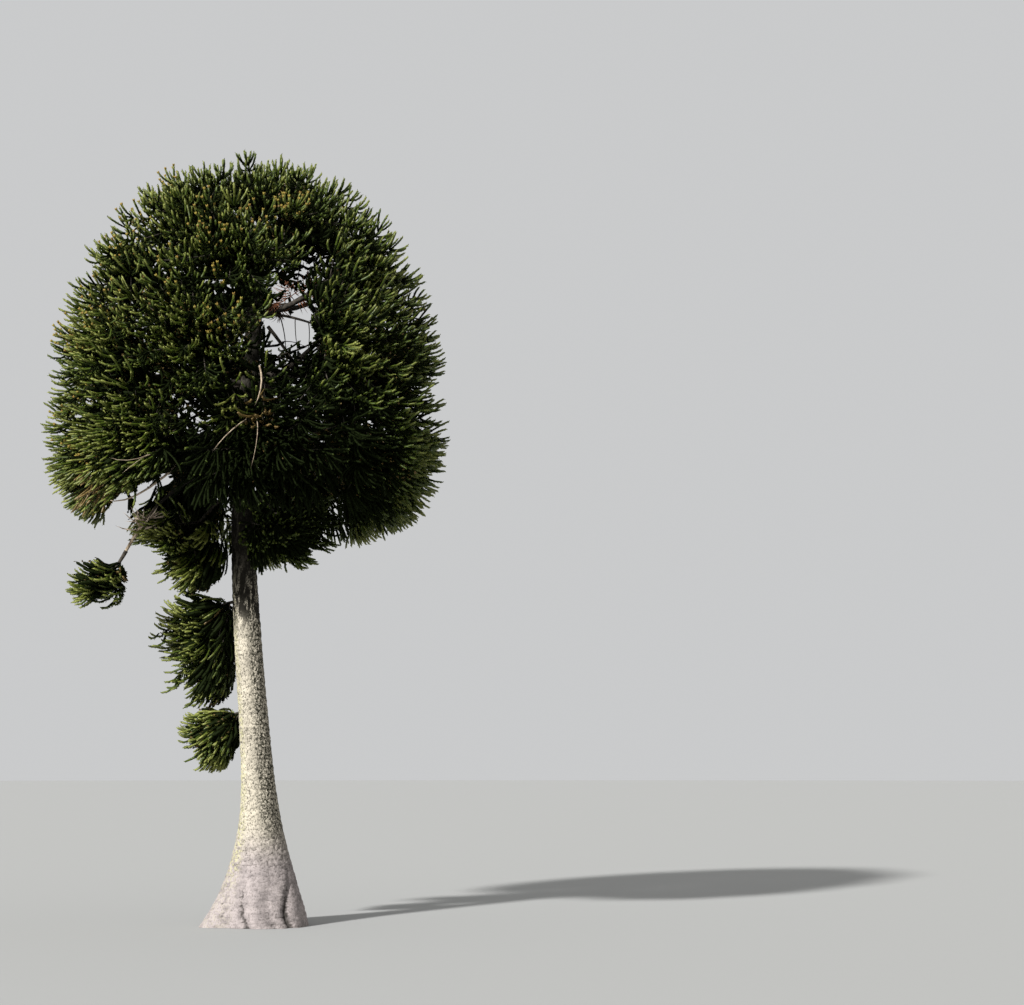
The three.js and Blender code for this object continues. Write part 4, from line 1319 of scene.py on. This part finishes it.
def dry_fan():
    """Curves that spread from one side of the bare limb and turn up."""
    limb = np.array([trunk_axis(HANGING_LEAVES), HANGING_BEND, HANGING_TIP])[None]
    number = np.arange(DRY_FAN_SHOOTS)
    root = points_on(limb, DRY_FAN_AT + DRY_FAN_PART * chance(number, 3))[0]
    turn = np.radians(DRY_FAN_FROM + DRY_FAN_OPEN * chance(number, 5))
    leaving = np.stack([np.cos(turn), np.sin(turn) * 0.6, 0.5 - 1.1 * chance(number, 9)], axis=-1)
    ending = unit(leaving + 0.7 * UP)
    return sweep(root, unit(leaving), ending, DRY_FAN_LENGTH * (0.6 + 0.5 * chance(number, 11)))


# Settings


def length(name, description, default):
    return FloatProperty(name=name, description=description, default=default, min=0, unit="LENGTH")


def share(name, description, default):
    return FloatProperty(
        name=name, description=description, default=default, min=0, max=1, subtype="FACTOR"
    )


def colour(name, description, default):
    return FloatVectorProperty(
        name=name, description=description, default=default, size=3, min=0, max=1, subtype="COLOR"
    )


class BarkSettings(bpy.types.PropertyGroup):
    plate_width: length("Scale width", "Width of the scales of bark", 0.13)
    plate_height: length("Scale height", "Height of the scales of bark", 0.16)
    crack_depth: length("Crack depth", "Depth of the cracks between the scales", 0.028)
    pale: colour("Pale bark", "Lit bark", (0.5, 0.45, 0.355))
    grey: colour("Grey bark", "Weathered patches", (0.25, 0.225, 0.18))
    fleck: colour("Flecks", "Cracks and dark flecks", (0.016, 0.014, 0.01))
    # Lichen colour, also a painted sunlit rim on the lit side
    lichen: colour("Lichen", "Lichen on the lit side", (0.46, 0.44, 0.22))
    # Moss colour, also painted shade on the shaded side
    moss: colour("Moss", "Moss on the shaded side", (0.03, 0.029, 0.018))
    foot: colour("Foot", "Bark of the root flare", (0.34, 0.296, 0.282))
    foot_dark: colour("Dark foot", "Weathered patches of the root flare", (0.22, 0.192, 0.184))


class LimbSettings(bpy.types.PropertyGroup):
    # Limb bark is darker than the wood itself: painted shade inside the crown
    bark: colour("Limb bark", "Bark of boughs and twigs", (0.06, 0.05, 0.038))
    bark_dark: colour("Dark limb bark", "Darker patches on boughs and twigs", (0.02, 0.017, 0.013))
    bare: colour("Bare limb", "The bare hanging limb", (0.42, 0.34, 0.24))
    bare_dark: colour("Dark bare limb", "Darker patches on the bare hanging limb", (0.2, 0.15, 0.1))
    dry: colour("Dry limb", "The dry limb and the fan of dry shoots", (0.66, 0.53, 0.43))
    dead: colour("Dead twigs", "Dry twigs in the gap", (0.36, 0.15, 0.07))
    dead_dark: colour("Dark dead twigs", "Darker patches on the dry twigs", (0.14, 0.06, 0.035))


class FoliageSettings(bpy.types.PropertyGroup):
    spacing: length("Twig spacing", "Distance between the ends of the twigs", 0.98)
    whorls: IntProperty(name="Whorls", description="Whorls of shoots on a twig", default=6, min=2)
    shoots: IntProperty(name="Shoots", description="Shoots in a whorl", default=4, min=2)
    shoot_length: length("Shoot length", "Length of a leafy shoot", 1.15)
    leaf_length: length("Leaf length", "Length of a leaf", 0.074)
    leaf_width: length("Leaf width", "Width of a leaf", 0.058)
    # Deep green is darker than the old leaves themselves: painted shade for the hollow, the old shoots and
    # the roots of shoots
    deep: colour("Deep green", "Old leaves in the shade", (0.007, 0.011, 0.002))
    green: colour("Green", "Most leaves", (0.045, 0.067, 0.006))
    olive: colour("Olive", "Weathered leaves", (0.11, 0.128, 0.022))
    fresh: colour("Fresh green", "Young leaves at the tips", (0.2, 0.218, 0.05))
    golden: colour("Golden", "Leaves round the cones", (0.2, 0.165, 0.02))
    brown: colour("Brown", "Old shoots that hang", (0.155, 0.105, 0.035))


class ConeSettings(bpy.types.PropertyGroup):
    share: share("Share", "Share of the sprays that bear cones", 0.15)
    length: length("Cone length", "Length of a pollen cone", 0.11)
    width: length("Cone width", "Width of a pollen cone", 0.05)
    gold: colour("Gold", "Ripe cones", (0.24, 0.18, 0.02))
    orange: colour("Orange", "Spent cones", (0.2, 0.12, 0.016))


class StageSettings(bpy.types.PropertyGroup):
    floor: colour("Floor", "The pale floor", (0.32, 0.32, 0.31))
    air: colour("Air", "The soft light all round", (0.98, 0.99, 1.0))
    air_strength: FloatProperty(name="Air strength", description="Strength of the soft light", default=0.6)
    sun_strength: FloatProperty(name="Lamp strength", description="Strength of the key light", default=6.5)
    distance: length("Camera distance", "How far the camera stands from the tree", 60.0)


# Operators


class TREE_OT_trunk(bpy.types.Operator):
    """Replace the trunk with one that has the relief of scaly bark"""

    bl_idname = "tree.trunk"
    bl_label = "Trunk"

    def execute(self, context):
        clear_selection()
        settle(build_trunk(), "bark", "trunk")
        return {"FINISHED"}


class TREE_OT_boughs(bpy.types.Operator):
    """Replace the boughs, whorl by whorl, and the bare hanging limb"""

    bl_idname = "tree.boughs"
    bl_label = "Boughs"

    def execute(self, context):
        look = context.scene.tree_limbs
        bare = limb_material("limb_bare", look.bare, look.bare_dark, shaded=True)
        for group in [*(whorl[0] for whorl in WHORLS), "skirt", "hanging"]:
            clear_selection()
            boughs = [bough for bough in skeleton()[0] if in_group(bough.name, group)]
            material = bare if group == "hanging" else wood_material()
            piece = build_limbs("limbs_" + group, boughs, material)
            settle(piece, "limb", *(bough.name for bough in boughs))
        return {"FINISHED"}


class TREE_OT_twigs(bpy.types.Operator):
    """Grow the stems and twigs that carry the shoots"""

    bl_idname = "tree.twigs"
    bl_label = "Twigs"

    def execute(self, context):
        build_groups("twigs_", build_twigs, "limb")
        return {"FINISHED"}


class TREE_OT_leaves(bpy.types.Operator):
    """Grow the leafy shoots of every mass"""

    bl_idname = "tree.leaves"
    bl_label = "Leaves"

    def execute(self, context):
        build_groups("leaves_", build_leaves, "leaves")
        return {"FINISHED"}


class TREE_OT_cones(bpy.types.Operator):
    """Set pollen cones on the ends of some sprays"""

    bl_idname = "tree.cones"
    bl_label = "Cones"

    def execute(self, context):
        groups = [grown for grown in growth().values() if not grown.mass.bare]
        settle(build_cones("cones", groups), "leaves")
        return {"FINISHED"}


class TREE_OT_dead_twigs(bpy.types.Operator):
    """Grow the dry limb and twigs in the gap of the crown"""

    bl_idname = "tree.dead_twigs"
    bl_label = "Dead twigs"

    def execute(self, context):
        look = context.scene.tree_limbs
        dry = limb_material("dead_twig", look.dead, look.dead_dark)
        grown = growth()["twigs_dead"]
        limbs = [
            limbs_along(GAP_LIMBS, GAP_LIMB_TAPER, LIMB_SIDES),
            tubes(grown.stem[None], STEM_RADII, STEM_SIDES, DEAD_LIMB_THICK),
        ]
        twigs = [
            tubes(grown.twigs, TWIG_RADII, TWIG_SIDES, DEAD_TWIG_THICK),
            tubes(grown.shoots, DEAD_SHOOT_RADII, THIN_SIDES),
        ]
        piece = two_tone_object("dead_twigs", limbs, twigs, [wood_material(), dry])
        settle(piece, "dead_twigs", "twigs_dead")
        return {"FINISHED"}


class TREE_OT_dry_shoots(bpy.types.Operator):
    """Set dry shoots and a dry limb by the bare limb, and dry twigs in front"""

    bl_idname = "tree.dry_shoots"
    bl_label = "Dry shoots"

    def execute(self, context):
        look = context.scene.tree_limbs
        pale = limb_material("dry_shoot", look.dry, look.bare)
        dull = limb_material("dry_twig", look.bare, look.bare_dark)
        dry = [
            tubes(dry_fan(), DRY_FAN_RADII, THIN_SIDES),
            tubes(np.array(DRY_LIMB)[None], DRY_LIMB_RADII, LIMB_SIDES),
        ]
        twigs = [limbs_along(FRONT_TWIGS, FRONT_TAPER, TWIG_SIDES)]
        settle(two_tone_object("dry_shoots", dry, twigs, [pale, dull]), "dead_twigs")
        return {"FINISHED"}


FLOOR_RADIUS, FLOOR_Z = 700.0, -0.004
CAMERA_X, CAMERA_Z, CAMERA_PITCH, CAMERA_LENS = 8.04, 5.0, 98.28, 64.125
LAMP_TURN, LAMP_ANGLE = (58.0, 0.0, -38.0), 4.0


class TREE_OT_stage(bpy.types.Operator):
    """Set up the floor, the light and the camera"""

    bl_idname = "tree.stage"
    bl_label = "Stage"

    def execute(self, context):
        clear_selection()
        scene = context.scene
        look = scene.tree_stage
        bpy.ops.mesh.primitive_circle_add(
            vertices=96, radius=FLOOR_RADIUS, fill_type="NGON", location=(0, 0, FLOOR_Z)
        )
        floor = bpy.context.object
        floor.name = "floor"
        material = new_material("floor", look.floor, roughness=0.9, specular=0.2)
        floor.data.materials.append(material)
        world = bpy.data.worlds.new("studio")
        world.use_nodes = True
        air = world.node_tree.nodes["Background"]
        air.inputs["Color"].default_value = (*look.air, 1)
        air.inputs["Strength"].default_value = look.air_strength
        scene.world = world
        scene.view_settings.view_transform = "Standard"
        bpy.ops.object.light_add(type="SUN", rotation=[math.radians(a) for a in LAMP_TURN])
        lamp = bpy.context.object.data
        lamp.energy = look.sun_strength
        lamp.angle = math.radians(LAMP_ANGLE)
        bpy.ops.object.camera_add(
            location=(CAMERA_X, -look.distance, CAMERA_Z),
            rotation=(math.radians(CAMERA_PITCH), 0, 0),
        )
        camera = bpy.context.object
        camera.data.lens = CAMERA_LENS
        camera.data.clip_end = 2 * FLOOR_RADIUS
        scene.camera = camera
        return {"FINISHED"}


class TREE_PT_pieces(bpy.types.Panel):
    """Builds the tree piece by piece"""

    bl_label = "Monkey Puzzle Tree"
    bl_space_type = "VIEW_3D"
    bl_region_type = "UI"
    bl_category = "Tree"

    def draw(self, context):
        for operator in OPERATORS:
            self.layout.operator(operator.bl_idname)


SETTINGS = {
    "tree_bark": BarkSettings,
    "tree_limbs": LimbSettings,
    "tree_foliage": FoliageSettings,
    "tree_cones": ConeSettings,
    "tree_stage": StageSettings,
}
OPERATORS = (
    TREE_OT_stage,
    TREE_OT_trunk,
    TREE_OT_boughs,
    TREE_OT_twigs,
    TREE_OT_leaves,
    TREE_OT_cones,
    TREE_OT_dead_twigs,
    TREE_OT_dry_shoots,
)


def register():
    for name, group in SETTINGS.items():
        bpy.utils.register_class(group)
        setattr(bpy.types.Scene, name, PointerProperty(type=group))
    for item in (*OPERATORS, TREE_PT_pieces):
        bpy.utils.register_class(item)


def unregister():
    for item in reversed((*OPERATORS, TREE_PT_pieces)):
        bpy.utils.unregister_class(item)
    for name, group in reversed(SETTINGS.items()):
        delattr(bpy.types.Scene, name)
        bpy.utils.unregister_class(group)


def main():
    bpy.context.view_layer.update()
    register()
    bpy.ops.tree.stage()
    bpy.ops.tree.trunk()
    bpy.ops.tree.boughs()
    bpy.ops.tree.twigs()
    bpy.ops.tree.leaves()
    bpy.ops.tree.cones()
    bpy.ops.tree.dead_twigs()
    bpy.ops.tree.dry_shoots()


if __name__ == "__main__":
    main()
